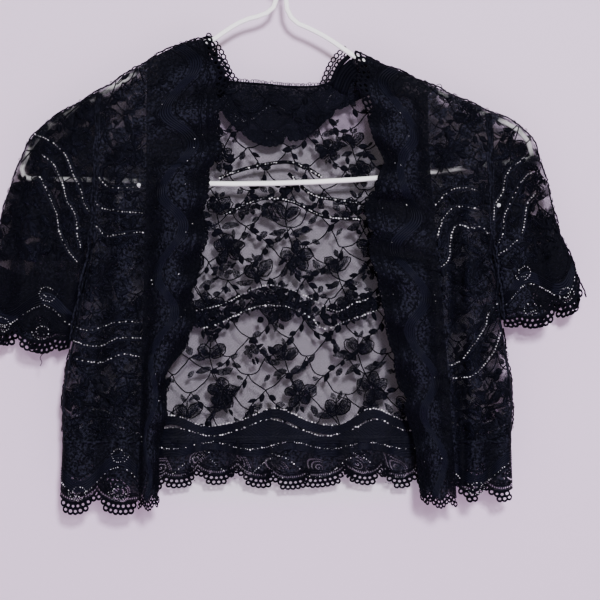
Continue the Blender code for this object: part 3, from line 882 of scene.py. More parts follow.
def edging_finish(name, openness):
    """The close ground, with small see-through holes where openness is 1."""
    made = lace_finish(name)
    a, b = made.cut()
    dots = ((a * (2 * math.pi / DOT)).sin() + 1) * 0.5
    row = 1 - (b - ROW_B).abs().step(0.35, 0.75)
    bent = (made.noise(60, 0) - 0.5) * 9
    p = ((a / PITCH).fract() - 0.5) * PITCH + bent
    q = (b - SCROLL_B) * 1.35 + p * 0.45 - bent
    radius = (p * p + q * q).root()
    angle = q.angle(p)
    turns = (radius * 1.55 + angle).sin()
    scroll = turns.step(0.55, 0.8) * (1 - radius.step(SCROLL_SIZE - 1, SCROLL_SIZE))
    rim = 1 - (radius - SCROLL_SIZE - 1.2).abs().step(0.3, 0.7)
    beads = (radius * angle * (2 * math.pi / DOT)).sin().step(-0.25, 0.35)
    kept = made.noise(45, 1).step(0.42, 0.50)
    holes = (row * dots.step(0.45, 0.7) * 0.6).most(scroll.most(rim) * beads * kept) * openness
    grain = made.noise(520, 1).step(0.36, 0.50)
    made.feed("Alpha", (1 - holes * 0.92) * (0.945 + 0.05 * grain))
    speckled_yarn_and_painted_fold_shade(made, 0.12, 1.35)
    return made.material


close_ground = edging_finish("close_ground", 0.0)
open_ground = edging_finish("open_ground", 1.0)
print("small holes every", DOT, "mm, a scroll every", PITCH, "mm")

# %% [markdown]
# ## Worked threads
#
# One material serves all threads. It reads each thread's shade: below 1 it is a plain cord, from
# 1 to 2 a thinly darned petal that lets light through, and above 2 a satin rib that shines a
# little, with a lower roughness and a lighter colour that is painted sheen. The crests of the
# folds also get painted light, and the valleys painted shade.

# %% Worked threads
worked = lace_finish("worked_thread")
satin = worked.shade().step(2.0, 2.05)
petals = worked.shade().step(0.99, 1.01) - satin
darned = worked.noise(1300, 1).step(0.40, 0.56)
worked.feed("Alpha", 1 - petals * darned * (0.42 + 0.38 * (worked.shade() - 1).most(0)))
# The colour grows lighter with the shade, which is the threads' own tone and on the satin ribs a
# painted sheen, and with the crest number: painted light on crests, painted shade in valleys
lit = worked.shade() * 0.4 * (0.15 + 1.4 * worked.crest())
worked.feed("Base Color", worked.blend(lit, BLACK, BLACK_LIT))
worked.feed("Roughness", 0.66 - 0.28 * satin)
worked.bump(worked.noise(1600, 1), 0.0002, 0.6)
print("nodes of the worked thread:", len(worked.tree.nodes))

# %% [markdown]
# ## Silver thread
#
# The silver lines are a flat metallised thread that only glints where a stitch faces the light.
# Each stitch is its own small block, and its shade makes it brighter or duller than the next.

# %% Silver thread
silver = Finish("silver_thread", Metallic=0.85, Roughness=0.35)
silver.feed("Base Color", silver.blend(silver.shade(), (0.10, 0.10, 0.12), (0.95, 0.95, 0.98)))
print("nodes of the silver thread:", len(silver.tree.nodes))

# %% [markdown]
# ## The hanger's coating
#
# The wire is dipped in white plastic. It is the packed model's own solid, so it only gets a new
# material: a greyish white with a thin clear coat.

# %% White coating of the hanger
coating = Finish("white_coating_looks", Roughness=0.32, Coat_Weight=0.3)
coating.feed("Base Color", coating.blend(coating.noise(40), (0.88, 0.89, 0.87), (0.95, 0.96, 0.94)))
for node in ("hanger_frame", "hanger_wrap"):
    frame["nodes"][node].material_slots[0].material = coating.material
    print(node, "faces:", len(frame["nodes"][node].data.polygons))

# %% [markdown]
# ## The body
#
# The back and the two narrow fronts are flat patterns that hang almost as they were cut, so their
# pattern coordinates are simply x and z in the front view. Their top edges follow the shoulders
# and the neck, their sides the armholes and side seams.

# %% Body
SEAM_OVERLAP = 2.5 * MM  # of a panel under the hem's edging
SEAM_INSET = 0.8 * MM  # of the lace work from the edges of a panel


def sheet_cloth(face, away):
    """A front (face -1) or a back (face 1) whose flat pattern is simply its front view."""
    return Cloth(lambda a, b: np.stack([a, sheet_y(face, a, b, away(a, b)), b], axis=-1), -face)


front_cloth, back_cloth = sheet_cloth(-1, body_away), sheet_cloth(1, body_away)


def close_ends(t):
    """Shares from 0 to 1 that crowd towards both ends."""
    t = np.clip(t, 0, 1)
    return 0.5 * t + 0.5 * (1 - np.cos(math.pi * t)) / 2


def panel_grid(first, last, top, columns, rows=110):
    """Places of a panel between two side lines, from its top line to the hem's seam."""
    across, down = (close_ends(np.linspace(0, 1, n)) for n in (columns, rows))
    p, q = np.meshgrid(across, down**1.25)
    z = np.full(p.shape, UNDERARM_Z)
    for _ in range(8):  # x depends on z and z on x, so they settle in turns
        x = first(z) + (last(z) - first(z)) * p
        z = top(x) + (HEM_SEAM_Z - SEAM_OVERLAP - top(x)) * q
    return x, z


def left_seam(z):
    return column(LEFT_BAND, z, 1)


def right_seam(z):
    return column(RIGHT_BAND, z, 1)


def shoulder_z(x):
    return z_on(SHOULDERS, x)


def back_top_z(x):
    return z_on(NET_EDGE, x)


def between(first, last, top):
    """Says which places are on a panel."""

    def holds(x, z):
        across = (x > first(z) + SEAM_INSET) & (x < last(z) - SEAM_INSET)
        return across & (z < top(x) - SEAM_INSET) & (z > HEM_SEAM_Z)

    return holds


print("neck's lowest place, z mm:", round(float(NET_EDGE[20:-20, 1].min()) / MM))

# %% [markdown]
# ## Hanging the body
#
# A grid of places is laid over each panel, closer at its edges where the cloth bends most, and
# every place moves to where it hangs.

# %% Hanging the body
net_back = hang_net("net_back", back_cloth, *panel_grid(left_x, right_x, back_top_z, 130),
                    net.material)
for name, first, last in (("left", left_x, left_seam), ("right", right_seam, right_x)):
    grid = panel_grid(first, last, shoulder_z, 30)
    hang_net("net_front_" + name, front_cloth, *grid, grown_net.material)
print("faces of the back:", len(net_back.data.polygons))

# %% [markdown]
# ## Between four lines
#
# A sleeve is a tube pressed flat. Its front and its back are filled in between four lines: the
# armhole, the outer fold, the seam of the edging and the short line under the arm.

# %% Between four lines
def filled(t, share, first, last, outer, inner):
    """Places between four lines: first to last as share grows, outer to inner as t grows."""
    t, share = t[..., None], share[..., None]
    ruled = (1 - share) * along(first, t[..., 0]) + share * along(last, t[..., 0])
    ends = (1 - t) * along(outer, share[..., 0]) + t * along(inner, share[..., 0])
    corners = (1 - t) * ((1 - share) * first[0] + share * last[0])
    corners = corners + t * ((1 - share) * first[-1] + share * last[-1])
    return ruled + ends - corners


square = table((0, 0), (100, 0), (0, -100), (100, -100))
middle = filled(np.full(1, 0.5), np.full(1, 0.5), square[:2], square[2:], square[::2], square[1::2])
print("the middle of a square of 100 mm:", *np.round(middle[0] / MM))

# %% [markdown]
# ## One class for both sleeves
#
# The two sleeves differ in size but not in kind, so one class holds the lines of either. At the
# underarm a sleeve keeps a little clear of the body, and its whole tube is one shell.

# %% One class for both sleeves
SLEEVE_CLEARANCE = 1.8 * MM  # from the body's edge, at the underarm
CLEARANCE_OVER = 14 * MM  # above the underarm, until there is none


class Sleeve:
    """The lines of one sleeve and its edging, side -1 on the left and 1 on the right."""

    def __init__(self, side):
        self.side = side
        left = LEFT_EDGE, LEFT_CUFF_SEAM, LEFT_CUFF_HEM
        right = RIGHT_EDGE, RIGHT_CUFF_SEAM, RIGHT_CUFF_HEM
        self.edge, seam, hem = left if side < 0 else right
        self.seam, self.hem = smooth_line(seam), smooth_line(hem)
        for line in (self.seam, self.hem):
            line[-1, 0] = self.inner_x(line[-1, 1])
        self.armhole = self.inner_line(self.edge[0, 1], UNDERARM_Z, 40)
        self.armhole[0] = self.edge[0]
        self.outer = part_of(FOLD, self.armhole[0], self.seam[0])
        self.inner = self.inner_line(UNDERARM_Z, self.seam[-1, 1], 10)

    def inner_x(self, z):
        closing = np.clip(1 - (z - UNDERARM_Z) / CLEARANCE_OVER, 0, 1)
        return x_on(self.edge, z) + self.side * SLEEVE_CLEARANCE * closing

    def inner_line(self, top, low, points):
        zs = np.linspace(top, low, points)
        return np.column_stack([self.inner_x(zs), zs])

    def away(self, x, z):
        return from_edge(x, z, self.inner_x)

    def cloth(self, face):
        return sheet_cloth(face, self.away)

    def holds(self, x, z):
        """Says which places are on the sleeve."""
        seam = self.seam if self.side > 0 else self.seam[::-1]
        from_armhole = self.side * (x - self.inner_x(z))
        from_fold = self.side * (x_on(self.outer, z) - x)
        below_fold = z_on(FOLD, x) - z
        inside = np.minimum(np.minimum(from_armhole, from_fold), below_fold) > SEAM_INSET
        return inside & (z > z_on(seam, x) + 0.5 * MM)

    def net(self, name):
        """The whole tube as one shell, from the outer fold over the front, and back behind."""
        t, share = np.meshgrid(np.linspace(0, 2, 121), np.linspace(0, 1, 56))
        t = np.where(t < 1, close_ends(t), 2 - close_ends(2 - t))
        across = np.where(t < 1, t, 2 - t)
        places = filled(across, share, self.armhole, self.seam, self.outer, self.inner)
        x, z = places[..., 0], places[..., 1]
        y = tube_y(t <= 1, x, z, self.away(x, z))
        ring = Cloth(lambda a, b: np.stack([x, y, z], axis=-1), self.side)
        return hang_net(name, ring, x, z, grown_net.material)


left_sleeve, right_sleeve = Sleeve(-1), Sleeve(1)
left_sleeve.net("net_sleeve_left")
right_sleeve.net("net_sleeve_right")
print("armholes, mm:", *(round(length_of(s.armhole) / MM) for s in (left_sleeve, right_sleeve)))

# %% [markdown]
# ## The scalloped edging
#
# The edging is a straight strip, 54 mm wide, which is gathered on to each edge. Its pattern runs
# along s, from one end of the strip to the other, and w, from the sewn side to the scallops. Each
# stretch has its own rule for where (s, w) hangs.

# %% Where the edging hangs
GATHER = 1.2  # flat length of the edging over the length of the edge it is sewn to
EYELET_ROWS = 8.2 * MM  # the depth of the two rows of eyelets along the scallops
GATHERS = 0.7 * MM  # height of the small gathers at the seam


def gathers(a, b):
    """The small uneven gathers next to the seam."""
    uneven = np.sin(a / (2.3 * MM)) + 0.6 * np.sin(a / (1.31 * MM) + 1.3)
    return GATHERS * uneven * np.exp(-b / (11 * MM)) * eased(b / (2 * MM))


class Edging:
    """One stretch of edging: its cloth, its flat length and its lobes."""

    def __init__(self, place, length, lobe, out, width=LACE_WIDTH, notch=1.0, uneven=0.0):
        self.cloth = Cloth(place, out)
        self.length = length
        self.lobe = lobe  # 1 at the lowest point of a scallop and 0 between two of them
        self.width = width
        self.notch = notch  # how deep the scallops are cut
        self.uneven = uneven  # how far the edge rides up where a fold lifts it

    def holds(self, s, w):
        """Says which places are on the strip."""
        return (s >= 0) & (s <= self.length) & (w >= 0) & (w <= self.edge(s) + 0.2 * MM)

    def edge(self, s):
        """The w of the scalloped edge."""
        depth = self.notch * SCALLOP * (1.7 + 0.9 * np.sin(s / (23 * MM) + 1))
        lobe = self.lobe(s + 2.4 * MM * np.sin(s / (17 * MM)))
        ridden_up = self.uneven * (0.5 + 0.5 * np.sin(s / (21 * MM) + 0.6))
        return self.width - depth * (1 - lobe ** 0.55) - ridden_up

    def low_end(self, w):
        """Where a band ends at its foot, which is scalloped like its long edge."""
        return self.length - 6 * MM * (1 - np.abs(np.cos(math.pi * w / (27 * MM))))

    def net(self, name):
        """The ground of the strip, which ends above its rows of eyelets."""
        along_strip = np.linspace(0, self.length, int(self.length / (2.2 * MM)))
        s, q = np.meshgrid(along_strip, np.linspace(0, 1, 25))
        rows = EYELET_ROWS - 0.4 * MM
        if "band" in name:  # below the shoulder its ground also lies behind the eyelets
            rows = rows - 6.6 * MM * eased((s - 40 * MM) / (20 * MM))
            end = self.low_end(q * self.width) - EYELET_ROWS
            foot = (s - self.length) / (30 * MM) + 1  # from 0 to 1 over the last 30 mm
            s = s - np.maximum(foot, 0) * (self.length - end)
        if "collar" in name:
            rows = 1.0 * MM
        w = q * (self.edge(s) - rows)
        ground = open_ground if "flounce" in name else close_ground
        return hang_net(name, self.cloth, s, w, ground, uv=(s, self.edge(s) - w))


print("gathered, 1 m of edge takes, m of edging:", GATHER)

# %% [markdown]
# ## The bands down the fronts
#
# From each shoulder the edging runs down the front edge to the hem. Gathering makes it bulge
# along its middle and ripple along its free side.

# %% The bands down the fronts
def band_edging(rows, side, ripples, low):
    """A front band, from the shoulder down; side is 1 where its free edge is to the right."""
    seam_top, free_top = rows[0, 1:]
    flat = GATHER * (shoulder_z(seam_top) - low)

    def place(a, b):
        q = b / LACE_WIDTH
        start = shoulder_z(seam_top + (free_top - seam_top) * q)
        z = start - a / flat * (start - low)
        seam_x, free_x = column(rows, z, 1), column(rows, z, 2)
        fold = 0.5 * np.sqrt(np.maximum(LACE_WIDTH**2 - (free_x - seam_x) ** 2, 0))
        fold = np.minimum(fold, TALLEST_BAND_FOLD)
        turn = 2 * math.pi * ripples * (z - low) / (start - low)
        wave = fold * np.sin(math.pi * q) ** 2 + BAND_RIPPLE * q * (BAND_OUTWARD + np.sin(turn))
        x = seam_x + (free_x - seam_x) * q
        y = sheet_y(-1, x, z, body_away(x, z), wave + gathers(a, b))
        return np.stack([x, y, z], axis=-1)

    def lobe(s):
        return np.abs(np.cos(math.pi * s / (36 * MM)))

    return Edging(place, flat, lobe, side, notch=0.45)


edgings = {
    "band_left": band_edging(LEFT_BAND, 1, 11, -486 * MM),
    "band_right": band_edging(RIGHT_BAND, -1, 10, -484 * MM),
}
print("bands, flat length in mm:", *(round(e.length / MM) for e in edgings.values()))

# %% [markdown]
# ## The hem
#
# The same strip hangs from the bottom of the back and of both fronts. Its waves grow towards the
# scallops, and at a band's foot it lies flat under the band.

# %% The hem
def hem_edging(face, first, last, low_z, pitch, wave_height, phase, band=None, width=LACE_WIDTH):
    """The edging of the hem between two side lines."""
    start, end = float(first(low_z)), float(last(low_z))
    flat = GATHER * (end - start)

    def place(a, b):
        share = b / width
        z = HEM_SEAM_Z + (low_z - HEM_SEAM_Z) * share
        x = first(z) + (last(z) - first(z)) * a / flat
        turn = math.pi * (x - phase) / pitch
        wave = wave_height * share * (HEM_OUTWARD + np.cos(2 * turn))
        if band:
            wave = wave * eased(np.abs(x - band(z)) / FLAT_AT_BAND)
        y = sheet_y(face, x, z, body_away(x, z), wave + gathers(a, b))
        return np.stack([x, y, z], axis=-1)

    def lobe(s):
        return np.abs(np.cos(math.pi * (start + s / GATHER - phase) / pitch))

    return Edging(place, flat, lobe, face, width, uneven=0 if band else 4.5 * MM)


# Height of the lowest point, distance of the waves, their height and a place where one is deepest
for name, face, first, last, waves, more in (
    ("back", 1, left_x, right_x, (-473, 29, 3.2, -50), {"width": 45 * MM}),
    ("left", -1, left_x, left_seam, (-490, 36, 2, -162), {"band": left_seam}),
    ("right", -1, right_seam, right_x, (-480, 25, 2.4, 152),
     {"band": right_seam, "width": 50 * MM}),
):
    edgings["hem_flounce_" + name] = hem_edging(face, first, last, *(n * MM for n in waves), **more)
print("hem, flat length in mm:", *(round(e.length / MM) for n, e in edgings.items() if "hem" in n))

# %% [markdown]
# ## The sleeves' ends
#
# Each sleeve ends in a ring of edging. Its pattern starts at the outer fold, runs over the front
# to the underarm and comes back behind.

# %% The sleeves' ends
def cuff_edging(sleeve, waves):
    """The edging of a sleeve: over the front from the outer fold, then behind."""
    hem = sleeve.hem - np.array([0, SCALLOP])
    outer = part_of(FOLD, sleeve.seam[0], hem[0])
    inner = np.array([sleeve.seam[-1], hem[-1]])
    flat = 2 * GATHER * length_of(sleeve.hem)

    def place(a, b):
        t = np.clip(2 * a / flat, 0, 2)
        across, share = np.where(t <= 1, t, 2 - t), b / LACE_WIDTH
        places = filled(across, share, sleeve.seam, hem, outer, inner)
        x, z = places[..., 0], places[..., 1]
        x = sleeve.side * np.maximum(sleeve.side * x, sleeve.side * sleeve.inner_x(z) + 0.4 * MM)
        turn = 2 * math.pi * waves * across + np.where(t <= 1, 0, CUFF_BACK_TURN)
        wave = CUFF_WAVE * share * (CUFF_OUTWARD + np.sin(turn)) + gathers(a, b)
        away = sleeve.away(x, z)
        return np.stack([x, tube_y(t <= 1, x, z, away, wave), z], axis=-1)

    def lobe(s):
        return np.abs(np.sin(2 * math.pi * waves * s / flat))

    return Edging(place, flat, lobe, sleeve.side)


cuffs = [cuff_edging(sleeve, 2.5) for sleeve in (left_sleeve, right_sleeve)]
edgings["sleeve_flounce_left"], edgings["sleeve_flounce_right"] = cuffs
print("cuffs, flat length in mm:", *(round(cuff.length / MM) for cuff in cuffs))

# %% [markdown]
# ## The collar
#
# Round the back of the neck a narrower stretch of edging has fallen down the outside. It is a
# half moon: wide in the middle and closing to nothing at the shoulders.

# %% The collar
def collar_edging(waves):
    """The edging round the neck, fallen down the outside of the back."""
    neck = part_of(NET_EDGE, *NET_CORNERS)
    left_end, right_end = (part_of(FOLD, *ends) for ends in zip(NET_CORNERS, COLLAR_ENDS))
    free = smooth_line(np.vstack([left_end[-1], COLLAR_LOW, right_end[-1]]))
    flat = 1.05 * length_of(free)

    def place(a, b):
        share, q = np.clip(a / flat, 0, 1), b / COLLAR_WIDTH
        places = filled(share, q, neck, free, left_end, right_end)
        x, z = places[..., 0], places[..., 1]
        wave = COLLAR_WAVE * q * (COLLAR_OUTWARD + np.sin(2 * math.pi * waves * share))
        y = sheet_y(1, x, z, body_away(x, z), wave, lift=COLLAR_LIFT)
        return np.stack([x, y, z], axis=-1)

    def lobe(s):
        return np.abs(np.sin(math.pi * waves * s / flat))

    return Edging(place, flat, lobe, 1, COLLAR_WIDTH, notch=0.6)


edgings["collar_back"] = collar_edging(5.5)
for name, edging in edgings.items():
    edging.net("net_" + name)
print("flat length of all edging, mm:", round(sum(e.length for e in edgings.values()) / MM))

# %% [markdown]
# ## Flowers and leaves
#
# Each spray is two flowers on a bent stem, with buds and leaves. The petals are plain strands
# that are widest near the tip, with veins and a frilled rim of thread. Seeded random numbers
# turn and size each of them a little.

# %% A spray
LEAF = (0.15, 0.62, 0.95, 1.0, 0.82, 0.45, 0.1)
PETAL = (0.25, 0.6, 0.88, 1.0, 0.98, 0.72, 0.3)
# One spray: foot x and z, direction in degrees, length and half width of each petal or leaf
SPRAY_PETALS = (
    (-1, 5, 128, 13, 4.9), (0, 5, 48, 13, 4.7), (10, -19, 95, 9.5, 4.2), (11, -20, 22, 11, 4.6),
    (11, -21, -48, 10, 4.2), (9, -21, -118, 10, 4.0), (8, -20, 168, 10.5, 4.5),
)
SPRAY_LEAVES = (
    (-1, 16, 112, 6.5, 2.0), (1, 16, 62, 6.5, 2.0), (-4, 3, 172, 13, 3.0), (-14, 6, 118, 9, 2.6),
    (1, -3, 205, 13, 3.0), (4, -6, 16, 15, 3.3), (16, 3, 52, 8, 2.2), (11, -30, -62, 6.5, 1.9),
    (9, -30, -112, 6.5, 1.9), (-12, -6, 238, 8, 2.3), (20, -8, -20, 7, 2.0),
)
SPRAY_STEM = ((0, 17), (-1, 6), (2, -4), (6, -13), (10, -20), (10, -30))
SPRAY_STRAYS = ((-6, 8), (-3, -8), (18, -26), (2, -26), (14, -2))


def petal_threads(work, place, way, long, half, rng):
    """Three veins and a frilled rim on a petal."""
    for vein in (-0.3, 0, 0.3):
        share = np.array([0.1, 0.35, 0.6, 0.62 + 0.25 * rng.random()])
        line = turned(*place, way, long * share, vein * half * (share + 0.4))
        work.strand(line, 0.34 * MM, shade=0.3 * rng.random())
    t = np.linspace(0, 2 * math.pi, 12)
    frill = 1 + 0.10 * rng.normal(0, 1, 12)
    frill[-1] = frill[0]
    rim = turned(*place, way, 0.52 * long * (1 - 1.02 * frill * np.cos(t)),
                 half * 0.98 * frill * np.sin(t))
    work.strand(rim, 0.5 * MM, shade=0.3 * rng.random())


def stray_leaf(work, place, long, half, rng):
    """A leaf that points anywhere; its sizes are each a least value and what may come on top."""
    way = rng.random() * 2 * math.pi
    long, half = ((least + more * rng.random()) * MM for least, more in (long, half))
    work.leaf(*place, way, long, half, LEAF, shade=2 * rng.random())


def spray(work, x, z, rng, flip=1, size=1.0):
    """Two flowers on a bent stem, with buds and leaves."""
    turn = rng.normal(0, 0.10)
    cos, sin = math.cos(turn), math.sin(turn)
    spin = np.array([[cos, -sin], [sin, cos]]) * size * MM

    def at(p, q):
        return np.array([x, z]) + spin @ np.array([flip * p, q])

    for rows, profile in ((SPRAY_PETALS, PETAL), (SPRAY_LEAVES, LEAF)):
        for p, q, way, long, half in rows:
            way = math.radians(180 - way if flip < 0 else way) + turn + rng.normal(0, 0.10)
            long, half = (v * size * MM * (0.78 + 0.36 * rng.random()) for v in (long, half))
            place = at(p, q)
            ragged = np.array(profile) * (1 + 0.10 * rng.normal(0, 1, 7))
            work.leaf(*place, way, long, 0.88 * half, ragged, bend=rng.normal(0, 0.06),
                      shade=1.05 + 0.9 * rng.random())
            if profile is PETAL:
                petal_threads(work, place, way, long, half, rng)
    work.cord(np.array([at(p, q) for p, q in SPRAY_STEM]), 0.5 * MM, shade=rng.random())
    for p, q in SPRAY_STRAYS:
        place = at(p + rng.normal(0, 2), q + rng.normal(0, 2))
        stray_leaf(work, place, (5, 4), (1.5, 1.3), rng)


sample = Work()
spray(sample, 0, 0, np.random.default_rng(1))
print("threads in one spray:", len(sample.corners))

# %% [markdown]
# ## A small flower
#
# Five petals round a knot fill the gaps between the sprays and inside the swings of the edging.

# %% A small flower
def flower(work, a, b, size, turn, rng, petal_shade=0.0):
    """Five petals round a small knot, and a few leaves."""
    for k in range(5):
        way = turn + 2 * math.pi * k / 5 + rng.normal(0, 0.12)
        foot = 0.14 * size
        work.leaf(a + foot * math.cos(way), b + foot * math.sin(way), way,
                  size * (0.62 + 0.1 * rng.random()), 0.27 * size, PETAL,
                  shade=petal_shade + 0.8 * rng.random())
    work.loop(a, b, 0.13 * size, 0.13 * size, 0.4 * MM, points=7, shade=rng.random())
    for _ in range(rng.integers(3, 6)):
        way = turn + 2 * math.pi * rng.random()
        foot = 0.8 * size
        work.leaf(a + foot * math.cos(way), b + foot * math.sin(way), way + rng.normal(0, 0.4),
                  0.8 * size, 0.17 * size, LEAF, bend=rng.normal(0, 0.08), shade=rng.random())


sample = Work()
flower(sample, 0, 0, 8 * MM, 0, np.random.default_rng(1))
print("threads in one small flower:", len(sample.corners))

# %% [markdown]
# ## The lattice between the sprays
#
# Thin cords sag from knot to knot in rounded diamonds, some with small leaves. Rows of sprays
# stand half a step aside from each other, as lace is repeated on its loom.

# %% The lattice between the sprays
PIXEL = 0.8  # millimetres to a pixel of the photograph
MIDDLE_X, TOP_Z = 280, -80  # pixels to the hanger's middle, millimetres down to the first row
LEAFY = 0.42  # share of the lattice's cords that carry leaves


def sagging_cord(work, start, end, rng):
    """One cord of the lattice, perhaps with three leaves."""
    t = np.linspace(0, 1, 8)[:, None]
    sag = np.array([rng.normal(0, MM), -3.6 * MM + rng.normal(0, 1.6 * MM)])
    line = start + (end - start) * t + sag * 4 * t * (1 - t)
    ripple = np.array([1.3 * MM, 0]) * np.sin(math.pi * t)
    line = line + ripple * np.sin(5 * t + rng.random() * 6)
    work.cord(line, 0.5 * MM, shade=rng.random() * 0.7)
    if rng.random() < LEAFY:
        for step, side in ((1, 1), (3, -1), (5, 1)):
            way = math.atan2(*(line[step + 1] - line[step])[::-1]) + 0.45 * side
            work.leaf(*line[step], way, (5.5 + 3 * rng.random()) * MM,
                      (1.6 + rng.random()) * MM, LEAF, shade=1.6 * rng.random())


def lattice(work, left, right, top, low, pitch_x, pitch_z, rng):
    """Thin cords that sag in rounded diamonds, some with small leaves."""
    columns, rows = int((right - left) / pitch_x) + 2, int((top - low) / pitch_z) + 2
    nodes = np.empty((rows + 1, columns + 1, 2))
    for j in range(rows + 1):
        for i in range(columns + 1):
            nodes[j, i] = left + (i + 0.5 * (j % 2)) * pitch_x, top - j * pitch_z
    nodes += rng.normal(0, 1.5 * MM, nodes.shape)
    for j in range(rows):
        for i in range(columns):
            for k in (i - 1 + (j % 2), i + (j % 2)):
                if 0 <= k <= columns:
                    sagging_cord(work, nodes[j, i], nodes[j + 1, k], rng)


def px(*places):
    """Places read off the photograph, in its pixels, as x and z."""
    return np.array([((x - MIDDLE_X) * PIXEL, TOP_Z - PIXEL * y) for x, y in places]) * MM


def sprays(work, rng, xs, ys, size, flip=1):
    """Sprays in rows, every second row half a step aside, at these places in pixels."""
    for k, y in enumerate(ys):
        for x in xs:
            aside = 0.5 * (xs[1] - xs[0]) * (k % 2)
            place = px((x + aside + rng.normal(0, 2.5), y + rng.normal(0, 2.5)))[0]
            spray(work, *place, rng, flip, size * (0.94 + 0.1 * rng.random()))


sample = Work()
lattice(sample, 0, 60 * MM, 0, -60 * MM, 30 * MM, 15 * MM, np.random.default_rng(1))
print("threads in a hand's breadth of lattice:", len(sample.corners))

# %% [markdown]
# ## Silver lines and ribbons
#
# The silver lines were read off the picture as a few places each, in its pixels, and run smoothly
# between them. Beside them lie ribbons: satin cords drawn side by side at even distances.

# %% Silver lines and ribbons
SILVER_PITCH = 2.3 * MM  # from one stitch of silver to the next


def satin_shade(rng):
    """The shade of a satin rib, which is above 2."""
    return 2.1 + 0.6 * rng.random()


def silver_line(work, places, rng, size=0.44 * MM):
    work.beads(smooth_line(places, 6), SILVER_PITCH, size, rng, gaps=0.15)


def ribbon(work, places, offsets, rng, width):
    """Parallel satin cords beside a line, at these distances above it."""
    line = spaced(smooth_line(places, 6), 2.5 * MM)
    for offset in offsets:
        work.cord(line + beside(line) * offset, width, shade=satin_shade(rng), height=0.45 * MM)


def leafy_strip(work, upper, lower, rng, count):
    """Small leaves strewn closely between two lines."""
    upper, lower = smooth_line(upper, 6), smooth_line(lower, 6)
    for _ in range(count):
        share = rng.random()
        down = 0.08 + 0.84 * rng.random()
        place = along(upper, share) * (1 - down) + along(lower, share) * down
        stray_leaf(work, place, (5, 5), (1.4, 1.6), rng)


def hang_lace(name, work, metal, cloth):
    """The worked threads and the silver ones of a piece of cloth."""
    hang_work("lace_" + name, work, cloth, worked.material)
    hang_work("silver_" + name, metal, cloth, silver.material)


print("the picture's top left corner, mm:", *np.round(px((0, 0))[0] / MM))

# %% [markdown]
# ## The back's lace
#
# The back is what the open fronts let one see. Its sprays stand on the rows read off the picture,
# two wavy silver lines cross it, and above the hem a wide ribbon waves from side to side.

# %% The back's lace
BACK_SILVER = (
    px((219, 177), (248, 167), (285, 161), (305, 166), (321, 176)),
    px((288, 172), (311, 193), (336, 199), (362, 203)),
    px((224, 214), (257, 199), (273, 198), (293, 201), (315, 212), (330, 217), (362, 219)),
    px((190, 312), (223, 304), (248, 291), (272, 285), (300, 293), (335, 311), (356, 303),
       (385, 294)),
    px((198, 330), (223, 322), (255, 307), (287, 307), (311, 318), (324, 329), (345, 322),
       (385, 308)),
    px((60, 424), (96, 410), (134, 424), (172, 416), (204, 427), (240, 421), (276, 409), (312, 423),
       (340, 425), (372, 409), (408, 421), (446, 410), (480, 424), (510, 412)),
    px((60, 436), (100, 422), (136, 434), (172, 428), (212, 437), (242, 429), (272, 420),
       (300, 430), (326, 437), (352, 430), (378, 420), (410, 432), (446, 421), (480, 436),
       (510, 424)),
)
SPRAY_STEP = 74  # pixels from one spray to the next
RIB_STEP = 1.15 * MM  # from one satin rib to the next
RIB_HALF = 0.75 * MM  # half the width of a satin rib

rng = np.random.default_rng(3)
holds = between(left_x, right_x, back_top_z)
work, metal = Work(holds), Work(holds)
lattice(work, -180 * MM, 190 * MM, -110 * MM, -432 * MM, 31 * MM, 15 * MM, rng)
# The x of a row's middle spray, and the heights of such rows, in pixels
for start, rows in ((262, (282, 425)), (286, (220, 363))):
    for y in rows:
        sprays(work, rng, [start + SPRAY_STEP * k for k in range(-3, 4)], (y,), size=1.12)
        for k in range(-3, 4, 2):
            x = start + SPRAY_STEP * (k + 0.5)
            place = px((x + rng.normal(0, 3), y - 14 + rng.normal(0, 3)))[0]
            flower(work, *place, 7.5 * MM, rng.random() * 6, rng, petal_shade=1.1)
for place in ((211, 132), (318, 128), (352, 148)):
    spray(work, *px(place)[0], rng, size=0.8)
for line in BACK_SILVER:
    silver_line(metal, line, rng, size=0.58 * MM)
for line in BACK_SILVER[:3]:
    work.cord(smooth_line(line, 6), 1.5 * MM, shade=0.2, height=0.3 * MM)
leafy_strip(work, BACK_SILVER[3], BACK_SILVER[4], rng, 150)
leafy_strip(work, px((190, 200), (257, 184), (300, 190), (385, 205)), BACK_SILVER[2], rng, 30)
for line, ribs in ((BACK_SILVER[5], 6), (BACK_SILVER[6], 16)):
    ribbon(work, line, [-RIB_STEP * k for k in range(1, ribs + 1)], rng, RIB_HALF)
hang_lace("back", work, metal, back_cloth)

# %% [markdown]
# ## The fronts' lace
#
# The fronts are worked more closely than the back, with smaller sprays, and their silver lines
# curve towards the armholes.

# %% The fronts' lace
def close_lace(work, box, heights, rows, rng, step, size, flip):
    """A close lattice from left to right and top to bottom in millimetres, and rows of sprays."""
    (left, right), (top, low) = box, heights
    lattice(work, left * MM, right * MM, top * MM, low * MM, 26 * MM, 13 * MM, rng)
    start = MIDDLE_X + left / PIXEL
    sprays(work, rng, [start + step * k for k in range(-1, 3)], rows, size, flip)


LEFT_SILVER = (
    px((97, 168), (100, 178), (112, 188), (140, 188)),
    px((94, 198), (102, 208), (120, 212), (149, 214)),
    px((98, 227), (108, 236), (128, 234), (150, 232)),
    px((74, 326), (92, 330), (118, 322), (142, 322)),
    px((72, 340), (98, 346), (120, 338), (142, 338)),
    px((76, 358), (102, 362), (122, 354), (140, 356)),
)
RIGHT_SILVER = (
    px((476, 192), (467, 189), (457, 189), (448, 192), (439, 201), (433, 207), (429, 214)),
    px((478, 211), (470, 209), (460, 207), (451, 209), (443, 218), (439, 228), (436, 241),
       (435, 255)),
    px((486, 234), (480, 227), (472, 229), (465, 227), (457, 226), (451, 232), (449, 243),
       (448, 257), (443, 265), (436, 270)),
    px((498, 302), (487, 313), (484, 326), (476, 338), (460, 360), (442, 366)),
    px((500, 330), (492, 352), (472, 374), (452, 378)),
)
rng = np.random.default_rng(7)
